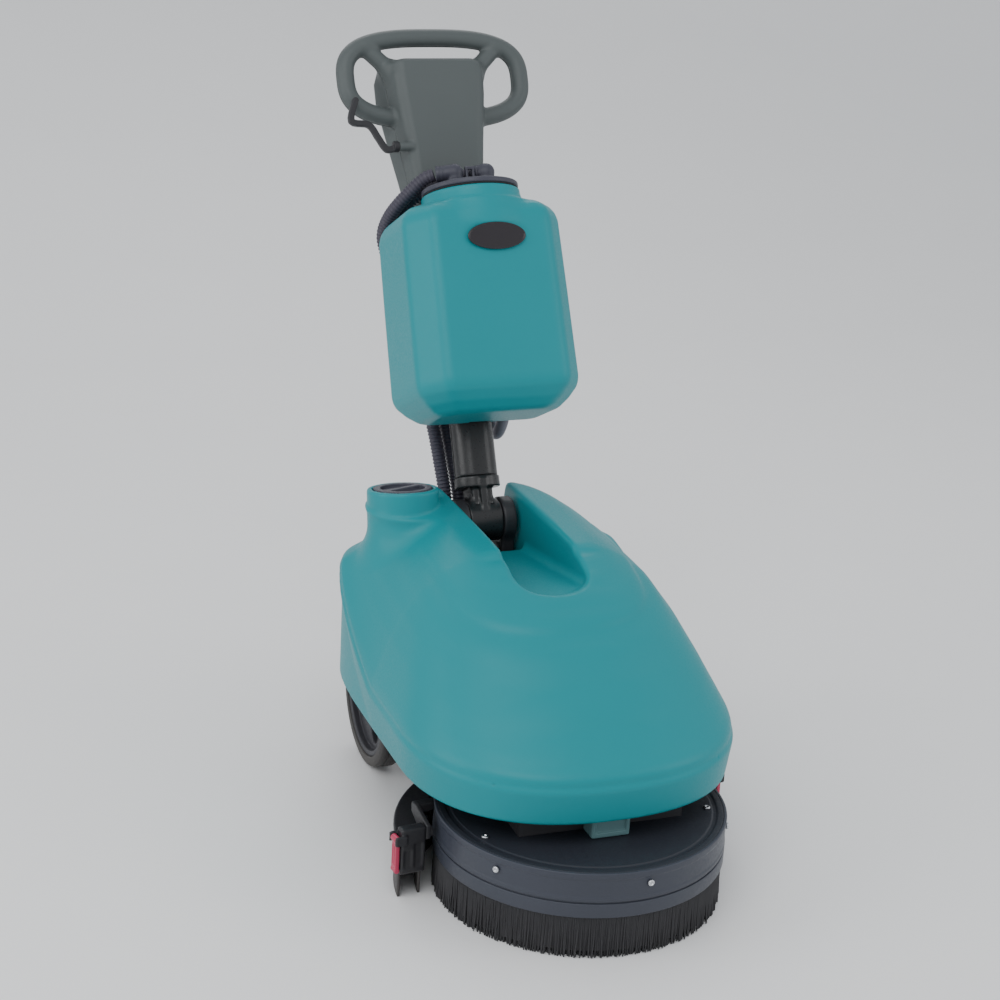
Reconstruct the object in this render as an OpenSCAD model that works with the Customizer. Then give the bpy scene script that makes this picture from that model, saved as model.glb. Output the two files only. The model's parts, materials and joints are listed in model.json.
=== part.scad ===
// Walk-behind floor scrubber: round brush deck, wrap-around squeegee, moulded
// solution-tank hood on a steel chassis, and a folding handle column that
// carries a lift-off recovery tank.
// Frame: +Z up, floor at Z = 0, brush axis at X = Y = 0, the machine drives
// towards -Y and the operator stands on the +Y side, so right is -X.

/* [Brush deck] */
// Outer diameter of the brush deck band
deck_d = 380; // [376:1:380]
// Height of the deck's top face above the floor
deck_top = 118; // [117:0.5:118]
// Length of the splash-skirt bristles
bristle_h = 56.8; // [50:0.2:56.8]
// Outer diameter of the scrubbing brush
brush_d = 336; // [320:2:344]

/* [Wheels] */
// Tyre diameter
wheel_d = 200; // [200:1:200]
// Tyre width
wheel_w = 34; // [28:1:36]
// Distance of each wheel's centre plane from the middle
wheel_x = 150; // [149:1:152]
// Number of round recesses in the wheel disc
wheel_pockets = 5; // [4:1:6]

/* [Hood] */
// Wall thickness of the moulded hood
hood_wall = 4; // [3.5:0.5:4.5]
// Half width of the handle groove
groove_w = 50; // [50:0.5:52]
// Radius of the filler collar
collar_r = 50; // [48:1:52]

/* [Handle] */
// Backward lean of the handle column, degrees
lean = 26.3; // [25:0.1:28]
// Outer diameter of the grip tube
grip_d = 26; // [24:1:28]
// Outer diameter of the corrugated hoses
hose_d = 20; // [18:1:20]

/* [Recovery tank] */
// Radius of the tank lid
lid_r = 68; // [66:1:68]

/* [Hidden] */
$fn = 96;
PIVOT = [0, 413, 357];            // handle pivot
AXLE = [0, 407, wheel_d / 2];
DECK_R = deck_d / 2;
CHASSIS_Z = deck_top + 0.2;       // underside of the chassis
PLATE_Z0 = 148.2;                 // chassis plate, bottom and top
PLATE_Z1 = 151;
MOUNT_Z = PLATE_Z1 + 0.2;         // underside of what stands on the plate
FIT = 0.05;                       // radial clearance of pins and shafts

TEAL = [0.0, 0.62, 0.68];
SLATE = [0.24, 0.26, 0.30];
DARK = [0.16, 0.16, 0.18];
BLACK = [0.08, 0.08, 0.085];
GREY = [0.40, 0.44, 0.45];
STEEL = [0.72, 0.73, 0.75];
HOSE = [0.27, 0.26, 0.31];
RED = [0.68, 0.15, 0.24];
BLADE = [0.55, 0.2, 0.16];
HUB_CAP = [0.61, 0.61, 0.69];

// ---------- helpers ----------

function unit(v) = v / norm(v);
function clamp(x, low, high) = x < low ? low : x > high ? high : x;
// power that keeps the sign, for superellipse outlines
function signed_power(c, n) = sign(c) * pow(abs(c), 2 / n);

// a closed solid through rings of points, listed from bottom to top; the ends
// are closed with fans to the middle points bottom and top
module loft(rings, bottom, top) {
    n = len(rings[0]);
    m = len(rings);
    points = concat([for (ring = rings) for (p = ring) p], [bottom, top]);
    faces = concat(
        [for (j = [0:m - 2]) for (i = [0:n - 1])
            [j * n + i, (j + 1) * n + (i + 1) % n, (j + 1) * n + i]],
        [for (j = [0:m - 2]) for (i = [0:n - 1])
            [j * n + i, j * n + (i + 1) % n, (j + 1) * n + (i + 1) % n]],
        [for (i = [0:n - 1]) [(i + 1) % n, i, m * n]],
        [for (i = [0:n - 1]) [(m - 1) * n + i, (m - 1) * n + (i + 1) % n, m * n + 1]]);
    polyhedron(points = points, faces = faces, convexity = 8);
}

// Catmull-Rom point between q[1] and q[2]
function catmull_rom(q, t) = 0.5 * ((2 * q[1]) + (q[2] - q[0]) * t
    + (2 * q[0] - 5 * q[1] + 4 * q[2] - q[3]) * t * t
    + (3 * q[1] - q[0] - 3 * q[2] + q[3]) * t * t * t);
// smooth path through the way points, with so many steps per span
function spline(way, steps) = let (n = len(way))
    [for (i = [0:n - 2]) for (j = [0:steps - 1])
        catmull_rom([way[max(i - 1, 0)], way[i], way[i + 1], way[min(i + 2, n - 1)]],
            j / steps),
     way[n - 1]];
// ring of n points about a centre, square to a direction
function tube_ring(centre, dir, r, n) = let (
    helper = abs(dir[0]) > 0.9 ? [0, 1, 0] : [1, 0, 0],
    u = unit(cross(dir, helper)),
    v = cross(dir, u))
    [for (i = [0:n - 1]) centre + r * (u * cos(-360 * i / n) + v * sin(-360 * i / n))];
// a round tube along a path
module sweep(path, r, n) {
    m = len(path);
    loft([for (i = [0:m - 1])
        tube_ring(path[i], unit(path[min(i + 1, m - 1)] - path[max(i - 1, 0)]), r, n)],
        path[0], path[m - 1]);
}

// column frame: X across, -Y forward, Z up the column, origin on the pivot
module lean_frame() translate(PIVOT) rotate([-lean, 0, 0]) children();
// machine point of [x, forward, up the column]
function from_lean(p) = [p[0],
    PIVOT.y - p[1] * cos(lean) + p[2] * sin(lean),
    PIVOT.z + p[1] * sin(lean) + p[2] * cos(lean)];

// cylinder along X from x0 to x1
module xcyl(x0, x1, r) translate([x0, 0, 0]) rotate([0, 90, 0]) cylinder(h = x1 - x0, r = r);
// cylinder along Z, standing on height z
module zcyl(z, h, r) translate([0, 0, z]) cylinder(h = h, r = r);
// cylinders along Y from a point, towards the rear or towards the front
module rear_cyl(from, h, r) translate(from) rotate([-90, 0, 0]) cylinder(h = h, r = r);
module front_cyl(from, h, r) translate(from) rotate([90, 0, 0]) cylinder(h = h, r = r);
// box between two opposite corners
module box(from, to) translate(from) cube(to - from);
// box and X cylinder given for the +X side (side = 1), or their image on the
// -X side (side = -1)
module side_box(side, from, to)
    box([side > 0 ? from.x : -to.x, from.y, from.z],
        [side > 0 ? to.x : -from.x, to.y, to.z]);
module side_xcyl(side, inner, outer, r)
    xcyl(side > 0 ? inner : -outer, side > 0 ? outer : -inner, r);
// stands a drawing of [y, z] points up as a plate that starts at x
module yz_plate(x, thick)
    translate([x, 0, 0]) rotate([90, 0, 90]) linear_extrude(thick) children();

// ---------- hood ----------

// Each level line of the hood: half width, front y, rear y, z at the front,
// in the middle and at the rear, superellipse exponents of front and rear,
// and where along its length the line is widest.
LEVELS = [
    [219, -118, 470, 150, 150, 298, 2.35, 6.0, 0.36],
    [226, -122, 476, 198, 206, 308, 2.35, 6.0, 0.36],
    [220, -116, 476, 213, 228, 316, 2.35, 6.0, 0.36],
    [211,  -97, 474, 227, 252, 322, 2.35, 5.5, 0.36],
    [199,  -62, 472, 251, 284, 330, 2.35, 5.0, 0.37],
    [182,  -12, 470, 287, 318, 341, 2.35, 5.0, 0.38],
    [160,   38, 468, 326, 346, 355, 2.40, 4.5, 0.40],
    [148,   58, 466, 340, 358, 363, 2.50, 4.5, 0.41],
    [132,   84, 464, 354, 371, 375, 2.60, 4.5, 0.42],
    [108,  118, 462, 370, 385, 389, 2.60, 4.5, 0.42],
    [ 82,  150, 460, 382, 396, 398, 2.60, 4.5, 0.42],
    [ 50,  190, 458, 392, 401, 402, 2.60, 4.5, 0.42]];
LAST_LEVEL = len(LEVELS) - 1;
HOOD_TOP = 402;
CAP_POS = [-127, 390, 423];
CAP_TILT = 10;

function level_z(level, y) = y < 200
    ? level[3] + (level[4] - level[3]) * (y - level[1]) / (200 - level[1])
    : level[4] + (level[5] - level[4]) * pow(clamp((y - 205) / 205, 0, 1), 1.15);
// one level line, moved inwards by inset and down by drop
function level_ring(level, inset, drop, n = 64) = let (
    half = level[0] - inset,
    front = level[1] + inset,
    rear = level[2] - inset,
    widest = level[1] + (level[2] - level[1]) * level[8])
    [for (i = [0:n - 1]) let (
        a = -360 * i / n,
        s = sin(a),
        exponent = s < 0 ? level[6] : level[7],
        reach_y = s < 0 ? widest - front : rear - widest,
        x = half * signed_power(cos(a), exponent),
        y = widest + reach_y * signed_power(s, exponent))
        [x, y, level_z(level, y) - drop]];
module hood_outer()
    loft([for (level = LEVELS) level_ring(level, 0, 0)], [0, 120, 150], [0, 300, HOOD_TOP]);
module hood_inner()
    loft([for (i = [0:LAST_LEVEL]) level_ring(LEVELS[i], hood_wall,
        i == 0 ? 3 : hood_wall * pow(i / LAST_LEVEL, 0.6))],
        [0, 120, 139], [0, 300, HOOD_TOP - hood_wall]);

// the groove the handle column stands in, grown on its walls
module groove(grow) intersection() {
    front_y = 165;
    union() {
        translate([0, front_y, 100]) cylinder(h = 360, r = groove_w + grow, $fn = 48);
        box([-groove_w - grow, front_y, 100], [groove_w + grow, 520, 460]);
    }
    yz_plate(-100, 200)
        polygon([[100, 390 - grow], [330, 331 - grow], [360 - grow, 329 - grow],
            [360 - grow, 120], [520, 120], [520, 460], [100, 460]]);
}
// frame of the filler: origin on top of the neck, Z along its axis
module cap_axis() translate(CAP_POS) rotate([-CAP_TILT, 0, 0]) children();
// sloping floor of the solution tank
module tank_floor() translate([0, 0, 262]) rotate([atan(0.12), 0, 0])
    box([-300, -200, 0], [300, 560, 4]);

// moulded in one piece, so it is kept as one smooth-skinned mesh
module solution_tank() color(TEAL) resize([0, 0, 0]) difference() {
    neck_h = 68;
    union() {
        difference() {
            hood_outer();
            difference() {
                hood_inner();
                tank_floor();
                groove(hood_wall);
            }
            groove(0);
        }
        // filler neck, hanging into the tank
        cap_axis() zcyl(-neck_h, neck_h, collar_r, $fn = 60);
    }
    // stepped bore: cap seat, strainer seat, throat
    cap_axis() {
        zcyl(-8, 20, 42.1, $fn = 60);
        zcyl(-26, 30, 37.2, $fn = 50);
        zcyl(-110, 100, 34.6, $fn = 44);
    }
}

module filler_cap() color(DARK) cap_axis() difference() {
    union() {
        zcyl(-7.8, 8.6, 41.4);
        zcyl(-22, 16, 35.5);
    }
    // two finger recesses that leave a bar between them
    for (side = [-1, 1]) intersection() {
        zcyl(-4, 20, 31);
        rotate(28) box([-32, side > 0 ? 5 : -30, -4], [32, side > 0 ? 30 : -5, 4]);
    }
    zcyl(-30, 20, 32);
}

module filler_strainer() color([0.3, 0.3, 0.33]) cap_axis() difference() {
    union() {
        zcyl(-25.8, 2.6, 36.7);
        zcyl(-62, 38, 33.5);
    }
    zcyl(-60, 50, 31);
    for (i = [0:11], z = [-54, -42]) rotate(i * 30) translate([25, -3, z]) cube([12, 6, 7]);
}

// ---------- chassis ----------

RAIL_IN = 88;                     // inner and outer faces of the side rails
RAIL_OUT = 112;
CHASSIS_FRONT = -69.5;
CHASSIS_REAR = 486;
PIN_R = 8;                        // wheel axle and handle pivot pin
WHEEL_GAP = 17.4;                 // from a wheel's centre plane to its spacer

module front_support_block() color([0.18, 0.36, 0.38]) difference() {
    box([-26, -100, CHASSIS_Z], [26, -70, 172]);
    for (side = [-1, 1]) translate([side * 15, -85, 0]) zcyl(100, 30, 3);
}

module chassis_frame() color(DARK) difference() {
    bracket_in = 100;
    union() {
        for (side = [-1, 1]) {
            side_box(side, [RAIL_IN, CHASSIS_FRONT, CHASSIS_Z],
                [RAIL_OUT, CHASSIS_REAR, PLATE_Z0 + 0.1]);
            // axle brackets
            side_box(side, [bracket_in, 388, 84], [RAIL_OUT, 426, CHASSIS_Z + 1]);
        }
        // front cross member
        box([-RAIL_OUT, CHASSIS_FRONT, CHASSIS_Z], [RAIL_OUT, CHASSIS_FRONT + 8, PLATE_Z0]);
        // top plate with a notch in its rear edge
        difference() {
            box([-RAIL_OUT, 62, PLATE_Z0], [RAIL_OUT, CHASSIS_REAR, PLATE_Z1]);
            translate([0, 455, 0]) zcyl(140, 20, 24);
        }
    }
    for (side = [-1, 1])
        translate(AXLE) side_xcyl(side, bracket_in - 1, RAIL_OUT + 1, PIN_R + FIT);
}

module wheel_axle() color(STEEL) translate(AXLE) {
    xcyl(-163, 163, PIN_R);
    // spacer sleeves between the brackets and the wheels
    for (side = [-1, 1]) difference() {
        side_xcyl(side, RAIL_OUT + 0.2, wheel_x - WHEEL_GAP, 13);
        side_xcyl(side, RAIL_OUT, 140, PIN_R - 0.1);
    }
}

// ---------- rear cover ----------

SOCKET_X = 62;
SOCKET_Z = 222;
SOCKET_R = 12;
// where the two hoses enter the cover
ENTRY_Y = 463;
RECOVERY_ENTRY_X = -38;
VACUUM_ENTRY_X = -15;

module rear_cover() color(BLACK) difference() {
    box([-111, 352, MOUNT_Z], [111, 484, 294]);
    box([-108, 340, 140], [108, 481, 291]);
    // room for the handle yoke, and two hose entries
    box([-48, 340, 280], [48, 449, 300]);
    for (side = [-1, 1]) side_box(side, [47, 340, 240], [54.8, 470, 300]);
    for (x = [RECOVERY_ENTRY_X, VACUUM_ENTRY_X])
        translate([x, ENTRY_Y, 0]) zcyl(280, 20, hose_d / 2 + 0.6);
    // exhaust louvres
    for (i = [0:5]) box([-84, 470, 184 + i * 13], [0, 490, 190 + i * 13]);
    front_cyl([SOCKET_X, 490, SOCKET_Z], 20, SOCKET_R + 0.1);
}

module charge_socket() color(DARK) translate([SOCKET_X, 0, SOCKET_Z]) difference() {
    union() {
        front_cyl([0, 490, 0], 5.8, 19);
        front_cyl([0, 484.5, 0], 14, SOCKET_R);
    }
    front_cyl([0, 492, 0], 12, 8);
}

// ---------- electrics and drives ----------

VACUUM_Y = 128;
IMPELLER_SHAFT_R = 4;
DRIVE_SHAFT_R = 9;
VALVE_X = -74;

module battery_pack() color([0.2, 0.2, 0.24]) {
    difference() {
        box([-80, 205, MOUNT_Z], [80, 343, 238]);
        // upright grooves in both sides
        for (side = [-1, 1], i = [0:6])
            side_box(side, [79, 222 + i * 16, 165], [82, 228 + i * 16, 225]);
    }
    // terminals
    for (side = [-1, 1]) translate([side * 50, 225, 0]) zcyl(238, 10, 8);
}

module motor_controller() color([0.5, 0.5, 0.52]) difference() {
    box([84, 215, MOUNT_Z], [110, 335, 196]);
    // gaps between the cooling fins
    for (i = [0:8]) box([80, 222 + i * 12.5, 170], [115, 227 + i * 12.5, 200]);
}

// four holes that bolt the gearmotor to the deck cover
module motor_bolt_holes(z)
    for (i = [0:3]) rotate(45 + 90 * i) translate([56.5, 0, 0]) zcyl(z, 30, 2.6);

module brush_gearmotor() color([0.3, 0.31, 0.33]) difference() {
    union() {
        zcyl(CHASSIS_Z, 6, 61);
        zcyl(CHASSIS_Z, 50, 54);
        zcyl(160, 78, 38);
        zcyl(230, 12, 24);
    }
    zcyl(100, 66, DRIVE_SHAFT_R + FIT);
    motor_bolt_holes(110);
}

module vacuum_housing() color([0.22, 0.22, 0.24]) translate([0, VACUUM_Y, 0]) difference() {
    union() {
        zcyl(MOUNT_Z, 44, 58);
        zcyl(190, 58, 40);
        box([20, 20, 156], [58, 74, 188]);
    }
    // impeller chamber, shaft bore, side duct and bottom opening
    zcyl(155, 36, 53);
    zcyl(185, 40, IMPELLER_SHAFT_R + FIT);
    box([26, 15, 160], [52, 80, 184]);
    zcyl(140, 30, 20);
}

module vacuum_impeller() color(STEEL) translate([0, VACUUM_Y, 0]) {
    z = 160;
    zcyl(z, 3, 48);
    zcyl(z, 22, 12);
    zcyl(z, 62, IMPELLER_SHAFT_R);
    for (i = [0:8]) rotate(i * 40) translate([11, -1.2, z + 2]) rotate(14)
        cube([34, 2.4, 18]);
}

module water_valve() color([0.2, 0.25, 0.3]) difference() {
    box_half = 12;
    union() {
        box([VALVE_X - box_half, 66, MOUNT_Z], [VALVE_X + box_half, 86, 190]);
        translate([VALVE_X, 76, 0]) {
            zcyl(190, 30, 10);
            zcyl(219, 48, 7);
        }
    }
    translate([VALVE_X, 76, 0]) zcyl(210, 70, 4.5);
}

// from the valve's front face down to the hole in the deck cover
FEED_WAY = [[VALVE_X, 65.5, 168], [VALVE_X, 50, 166], [VALVE_X, 30, 152],
    [VALVE_X, 14, 136], [-73.2, 8, 125], [-73, 7, 121.4]];
module solution_feed_hose() color([0.75, 0.78, 0.8]) sweep(spline(FEED_WAY, 4), 5.5, 12);

// ---------- handle pivot ----------

YOKE_IN = 25;                     // inner and outer faces of the yoke cheeks
YOKE_OUT = 44;

module handle_yoke() color(BLACK) difference() {
    union() {
        box([-46, 382, MOUNT_Z], [46, 446, 160]);
        for (side = [-1, 1]) {
            translate(PIVOT) side_xcyl(side, YOKE_IN, YOKE_OUT, 32);
            side_box(side, [YOKE_IN, 389, 155], [YOKE_OUT, 437, PIVOT.z]);
        }
        box([-30, 400, 155], [30, 428, 318]);
    }
    translate(PIVOT) xcyl(-60, 60, PIN_R + FIT);
    // foot bolt holes
    for (x = [-36, 36], y = [392, 436]) translate([x, y, 0]) zcyl(100, 70, 3.21);
}

module pivot_pin() color(STEEL) translate(PIVOT) {
    shank = YOKE_OUT + 0.1;
    xcyl(-shank, shank, PIN_R);
    for (side = [-1, 1]) side_xcyl(side, shank, 48, 13);
}

// ---------- brush deck ----------

BAND_SCREW_ANGLES = [for (i = [0:5]) -85 + 60 * i];
BAND_SCREW_Z = 101;
COVER_SCREW_ANGLES = [-21, -159, 21, 159];
COVER_SCREW_R = 164;              // distance of the cover screws from the axis
SCREW_R = 2.2;
SCREW_HOLE_R = 2.3;

module at_band_screws()
    for (a = BAND_SCREW_ANGLES) rotate(a) translate([0, 0, BAND_SCREW_Z]) children();
module at_cover_screws()
    for (a = COVER_SCREW_ANGLES) rotate(a) translate([COVER_SCREW_R, 0, 0]) children();

module deck_band() color(SLATE) difference() {
    bottom = 79;
    zcyl(bottom, deck_top - bottom, DECK_R, $fn = 180);
    zcyl(70, 60, DECK_R - 4, $fn = 180);
    at_band_screws() xcyl(DECK_R - 10, DECK_R + 5, SCREW_HOLE_R);
}
module deck_cover() color(DARK) difference() {
    thick = 6;
    zcyl(deck_top - thick, thick, DECK_R - 4.2, $fn = 180);
    zcyl(100, 40, 13);
    at_cover_screws() zcyl(100, 40, SCREW_HOLE_R);
    motor_bolt_holes(100);
    // solution inlet
    translate([-73, 6, 0]) zcyl(100, 40, 4);
}
module skirt_ring() color(SLATE) difference() {
    bottom = 57;
    union() {
        zcyl(bottom, 19.5, DECK_R, $fn = 180);
        zcyl(bottom, 21.8, DECK_R - 2.5, $fn = 180);
    }
    zcyl(50, 40, DECK_R - 14, $fn = 180);
}
module skirt_bristles() color(BLACK) difference() {
    cylinder(h = bristle_h, r = DECK_R - 2, $fn = 180);
    zcyl(-5, 80, DECK_R - 12, $fn = 180);
}
module deck_screws() color(STEEL) {
    at_band_screws() {
        xcyl(DECK_R + 0.1, DECK_R + 3.4, 4.4);
        xcyl(DECK_R - 8, DECK_R + 0.2, SCREW_R);
    }
    at_cover_screws() {
        zcyl(deck_top + 0.1, 3, 4.6);
        zcyl(deck_top - 9, 10, SCREW_R);
    }
}

module brush_drive_shaft() color(STEEL) zcyl(62, 100, DRIVE_SHAFT_R);
module brush_disc() color([0.2, 0.24, 0.5]) difference() {
    union() {
        zcyl(58, 10, brush_d / 2, $fn = 160);
        zcyl(60, 26, 32);
    }
    zcyl(50, 50, DRIVE_SHAFT_R + FIT);
    for (i = [0:5]) rotate(60 * i) translate([62, 0, 0]) zcyl(50, 30, 16);
}
module brush_bristles() color([0.1, 0.2, 0.45]) difference() {
    cylinder(h = 57.8, r = brush_d / 2 - 2, $fn = 160);
    zcyl(-5, 80, 92);
}

// ---------- squeegee ----------

// the squeegee hangs slightly turned about the brush axis
SQUEEGEE_TURN = 7;
HINGE = [0, 45.5, 92];            // axis of the two squeegee pivot bolts
HINGE_R = 4;
TOGGLE_X = 242;                   // latch pins
TOGGLE_Z = 91;
TOGGLE_R = 2;
LOOSE_FIT = 0.08;

module squeegee_frame() rotate(SQUEEGEE_TURN) children();
// upright strip behind the brush, from radius r0 to r1, which stops short of
// the X axis by end_angle at both ends
module arc_strip(r0, r1, z0, z1, end_angle) rotate(end_angle)
    rotate_extrude(angle = 180 - 2 * end_angle, $fn = 180)
        translate([r0, z0]) square([r1 - r0, z1 - z0]);

module squeegee_body() color(BLACK) squeegee_frame() difference() {
    union() {
        arc_strip(211, 235, 44, 80, 11.8);
        arc_strip(205, 240.5, 76, 82, 11.8);
        for (side = [-1, 1]) {
            // end block
            side_box(side, [202.6, 36.5, 40], [237, 51.2, 104]);
            // toggle ears with their pin
            for (y = [[32.5, 36.8], [50.9, 55.1]])
                side_box(side, [229.5, y[0], 84], [246.5, y[1], 97]);
            rear_cyl([side * TOGGLE_X, 33.5, TOGGLE_Z], 20, TOGGLE_R);
        }
    }
    for (side = [-1, 1])
        translate(HINGE) side_xcyl(side, 200, 228, HINGE_R + LOOSE_FIT);
}
module squeegee_front_blade() color(BLADE) squeegee_frame()
    arc_strip(207.5, 210.8, 0, 74, 14.6);
module squeegee_rear_blade() color(BLADE) squeegee_frame()
    arc_strip(235.2, 238.4, 0, 74, 12.9);
module squeegee_straps() color(STEEL) squeegee_frame() {
    arc_strip(238.6, 240, 42, 58, 12.9);
    arc_strip(205.8, 207.3, 44, 58, 14.8);
}
module suction_nozzle() color(DARK) squeegee_frame() translate([0, 222, 0]) difference() {
    union() {
        zcyl(82.2, 8, 17);
        zcyl(82.2, 24, 12.5);
    }
    zcyl(80, 40, 9.5);
}
module squeegee_brackets() color(DARK) squeegee_frame() for (side = [-1, 1]) {
    difference() {
        union() {
            yz_plate(side > 0 ? 196.2 : -202.2, 6)
                polygon([[37.5, 84], [53.5, 84], [84, 104], [84, 117], [71, 117], [37.5, 104]]);
            side_box(side, [165, 71, 105], [197, 84, 117]);
        }
        // follows the deck band
        zcyl(90, 40, DECK_R + 0.1, $fn = 180);
        translate(HINGE) side_xcyl(side, 190, 210, HINGE_R + LOOSE_FIT);
    }
    // pivot bolt
    translate(HINGE) {
        side_xcyl(side, 192.5, 226, HINGE_R);
        side_xcyl(side, 191.2, 196, 7.5);
    }
}
// latch of the +X side
module latch() difference() {
    y = 37.1;
    width = 13.5;
    foot_z = 46;
    union() {
        rear_cyl([TOGGLE_X, y, TOGGLE_Z], width, 4.6);
        box([238.7, y, foot_z], [244.3, y + width, TOGGLE_Z]);
        rear_cyl([241.5, y, foot_z], width, 3.4);
    }
    rear_cyl([TOGGLE_X, 30, TOGGLE_Z], 30, TOGGLE_R + LOOSE_FIT);
}
module left_latch() color(RED) squeegee_frame() latch();
module right_latch() color(RED) squeegee_frame() mirror([1, 0, 0]) latch();

// ---------- wheels ----------

// puts a wheel part, drawn with +Z outwards, on the +X (1) or -X (-1) side
module wheel_place(side)
    translate([side * wheel_x, AXLE.y, AXLE.z]) rotate([0, side * 90, 0]) children();
module tyre() rotate_extrude($fn = 144) {
    r = wheel_d / 2;
    half = wheel_w / 2;
    round_r = 6;                  // shoulder rounding
    depth = 16;
    difference() {
        union() {
            translate([r - depth, -half]) square([depth - round_r, 2 * half]);
            translate([r - depth, -half + round_r]) square([depth, 2 * half - 2 * round_r]);
            for (side = [-1, 1]) translate([r - round_r, side * (half - round_r)])
                circle(r = round_r, $fn = 32);
        }
        // two tread grooves, and the inside trimmed
        for (side = [-1, 1]) translate([r - 1.5, side * 5 - 1]) square([4, 2]);
        translate([r - 30, -half - 1]) square([14, 2 * half + 2]);
    }
}
module rim() difference() {
    dish_r = 76;
    zcyl(-15, 30, wheel_d / 2 - 16.1, $fn = 144);
    // outer dish, around the hub
    translate([0, 0, 5]) difference() {
        cylinder(h = 20, r = dish_r);
        cylinder(h = 9.8, r = 30);
        zcyl(-1, 4, 90);
    }
    // inner dish
    translate([0, 0, -25]) difference() {
        cylinder(h = 21, r = dish_r);
        cylinder(h = 21, r = 24);
    }
    for (i = [0:wheel_pockets - 1]) rotate(i * 360 / wheel_pockets + 36)
        translate([52, 0, 0]) zcyl(-20, 40, 15);
    zcyl(-30, 60, PIN_R + FIT);
}
// shallow dome
module hub_cap() rotate_extrude() intersection() {
    translate([0, 15.2]) square([26, 8]);
    translate([0, -44]) circle(r = 65.5, $fn = 160);
}
module left_tyre() color(BLACK) wheel_place(1) tyre();
module right_tyre() color(BLACK) wheel_place(-1) tyre();
module left_rim() color(DARK) wheel_place(1) rim();
module right_rim() color(DARK) wheel_place(-1) rim();
module left_hub_cap() color(HUB_CAP) wheel_place(1) hub_cap();
module right_hub_cap() color(HUB_CAP) wheel_place(-1) hub_cap();

// ---------- handle column (column frame) ----------

COLUMN_R = 25;                    // end radii of the column section
COLUMN_BORE_R = 22;

// column section: two circles side by side, filled in between
module stadium(r) {
    offset_x = 6;
    for (side = [-1, 1]) translate([side * offset_x, 0]) circle(r = r);
    translate([-offset_x, -r]) square([2 * offset_x, 2 * r]);
}
module column_bar(z, h, r) translate([0, 0, z]) linear_extrude(h) stadium(r);

module handle_column() color(BLACK) lean_frame() difference() {
    column_bar(62.2, 538, COLUMN_R);
    column_bar(60, 545, COLUMN_BORE_R);
}
module column_knuckle() color(BLACK) lean_frame() difference() {
    union() {
        xcyl(-24.6, 24.6, 30);
        box([-16, -20, 10], [16, 20, 50]);
        // rib on the front
        box([-5, -27, 12], [5, 0, 56]);
        column_bar(46, 16, 27);
        // plug inside the column
        column_bar(61, 30, COLUMN_BORE_R - 0.1);
    }
    xcyl(-40, 40, PIN_R + FIT);
}
module tank_bracket() color(DARK) lean_frame() difference() {
    union() {
        column_bar(150, 26, 28.2);
        // tongue that reaches into the tank's slot
        box([-15, -44, 158], [15, -20, 172]);
    }
    column_bar(140, 60, COLUMN_R + 0.1);
}

// ---------- handle head (column frame) ----------

// section of the grip housing: height, rear half width, front half width,
// rear depth, front depth
HOUSE = [
    [455, 56, 49, 34, 28],
    [500, 64, 52, 35, 29.5],
    [545, 73, 56, 35, 31],
    [615, 86, 63, 35, 34],
    [645, 86, 65, 34, 34],
    [662, 80, 64, 31, 32],
    [669, 72, 58, 26, 28]];
LOOP_Z = 645;                     // middle of the grip loop
LOOP_W = 133;                     // half width, half height and corner radius
LOOP_H = 61;
LOOP_R = 52;
LEVER_AXIS = [0, -24, 539];
LEVER_PIN_R = 4;
CONTROLS_Z = 612;
BUTTON_X = 28;
BUTTON_R = 9;

// rounded trapezium with corner radius r
function house_ring(section, r = 12, steps = 3) = let (
    rear = section[1] - r,
    front = section[2] - r,
    rear_y = section[3] - r,
    front_y = -section[4] + r,
    corners = [[rear, rear_y, 0], [-rear, rear_y, 90],
        [-front, front_y, 180], [front, front_y, 270]])
    [for (i = [3:-1:0]) for (j = [steps:-1:0]) let (
        c = corners[i],
        a = c[2] + 90 * j / steps)
        [c[0] + r * cos(a), c[1] + r * sin(a), section[0]]];
module house() loft([for (section = HOUSE) house_ring(section)], [0, 0, 455], [0, 0, 669]);
// straight runs joined by quarter rings
module grip_loop() translate([0, 0, LOOP_Z]) {
    grip_r = grip_d / 2;
    run_x = LOOP_W - LOOP_R;
    run_z = LOOP_H - LOOP_R;
    for (side = [-1, 1]) {
        translate([0, 0, side * LOOP_H]) xcyl(-run_x, run_x, grip_r);
        translate([side * LOOP_W, 0, 0]) zcyl(-run_z, 2 * run_z, grip_r);
    }
    for (i = [0:3])
        translate([(i == 0 || i == 3 ? 1 : -1) * run_x, 0, (i < 2 ? 1 : -1) * run_z])
            rotate([90, 0, 0]) rotate([0, 0, 90 * i]) rotate_extrude(angle = 90)
                translate([LOOP_R, 0]) circle(r = grip_r);
}
module handle_solid() {
    house();
    grip_loop();
    // arms from the top corners of the housing to the loop
    for (side = [-1, 1]) translate([side * 58, 0, 650]) rotate([0, side * 45, 0])
        cylinder(h = 60, r = 12);
    // boss of the release lever, operator's right
    translate(LEVER_AXIS) xcyl(-71.8, -50, 7);
}
// inside of the housing, column socket and lever pin hole
module handle_cut() {
    box([-44, -25.4, 462], [44, 29, 640]);
    column_bar(440, 30, COLUMN_R + 0.4);
    translate(LEVER_AXIS) xcyl(-90, -60, LEVER_PIN_R + 0.3);
}
// the part of the handle between two y values
module handle_shell(y0, y1) color(GREY) lean_frame() difference() {
    intersection() {
        handle_solid();
        box([-220, y0, 400], [220, y1, 760]);
    }
    handle_cut();
}
module handle_shell_front() handle_shell(-120, -0.05);
module handle_shell_rear() handle_shell(0.05, 120);

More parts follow.
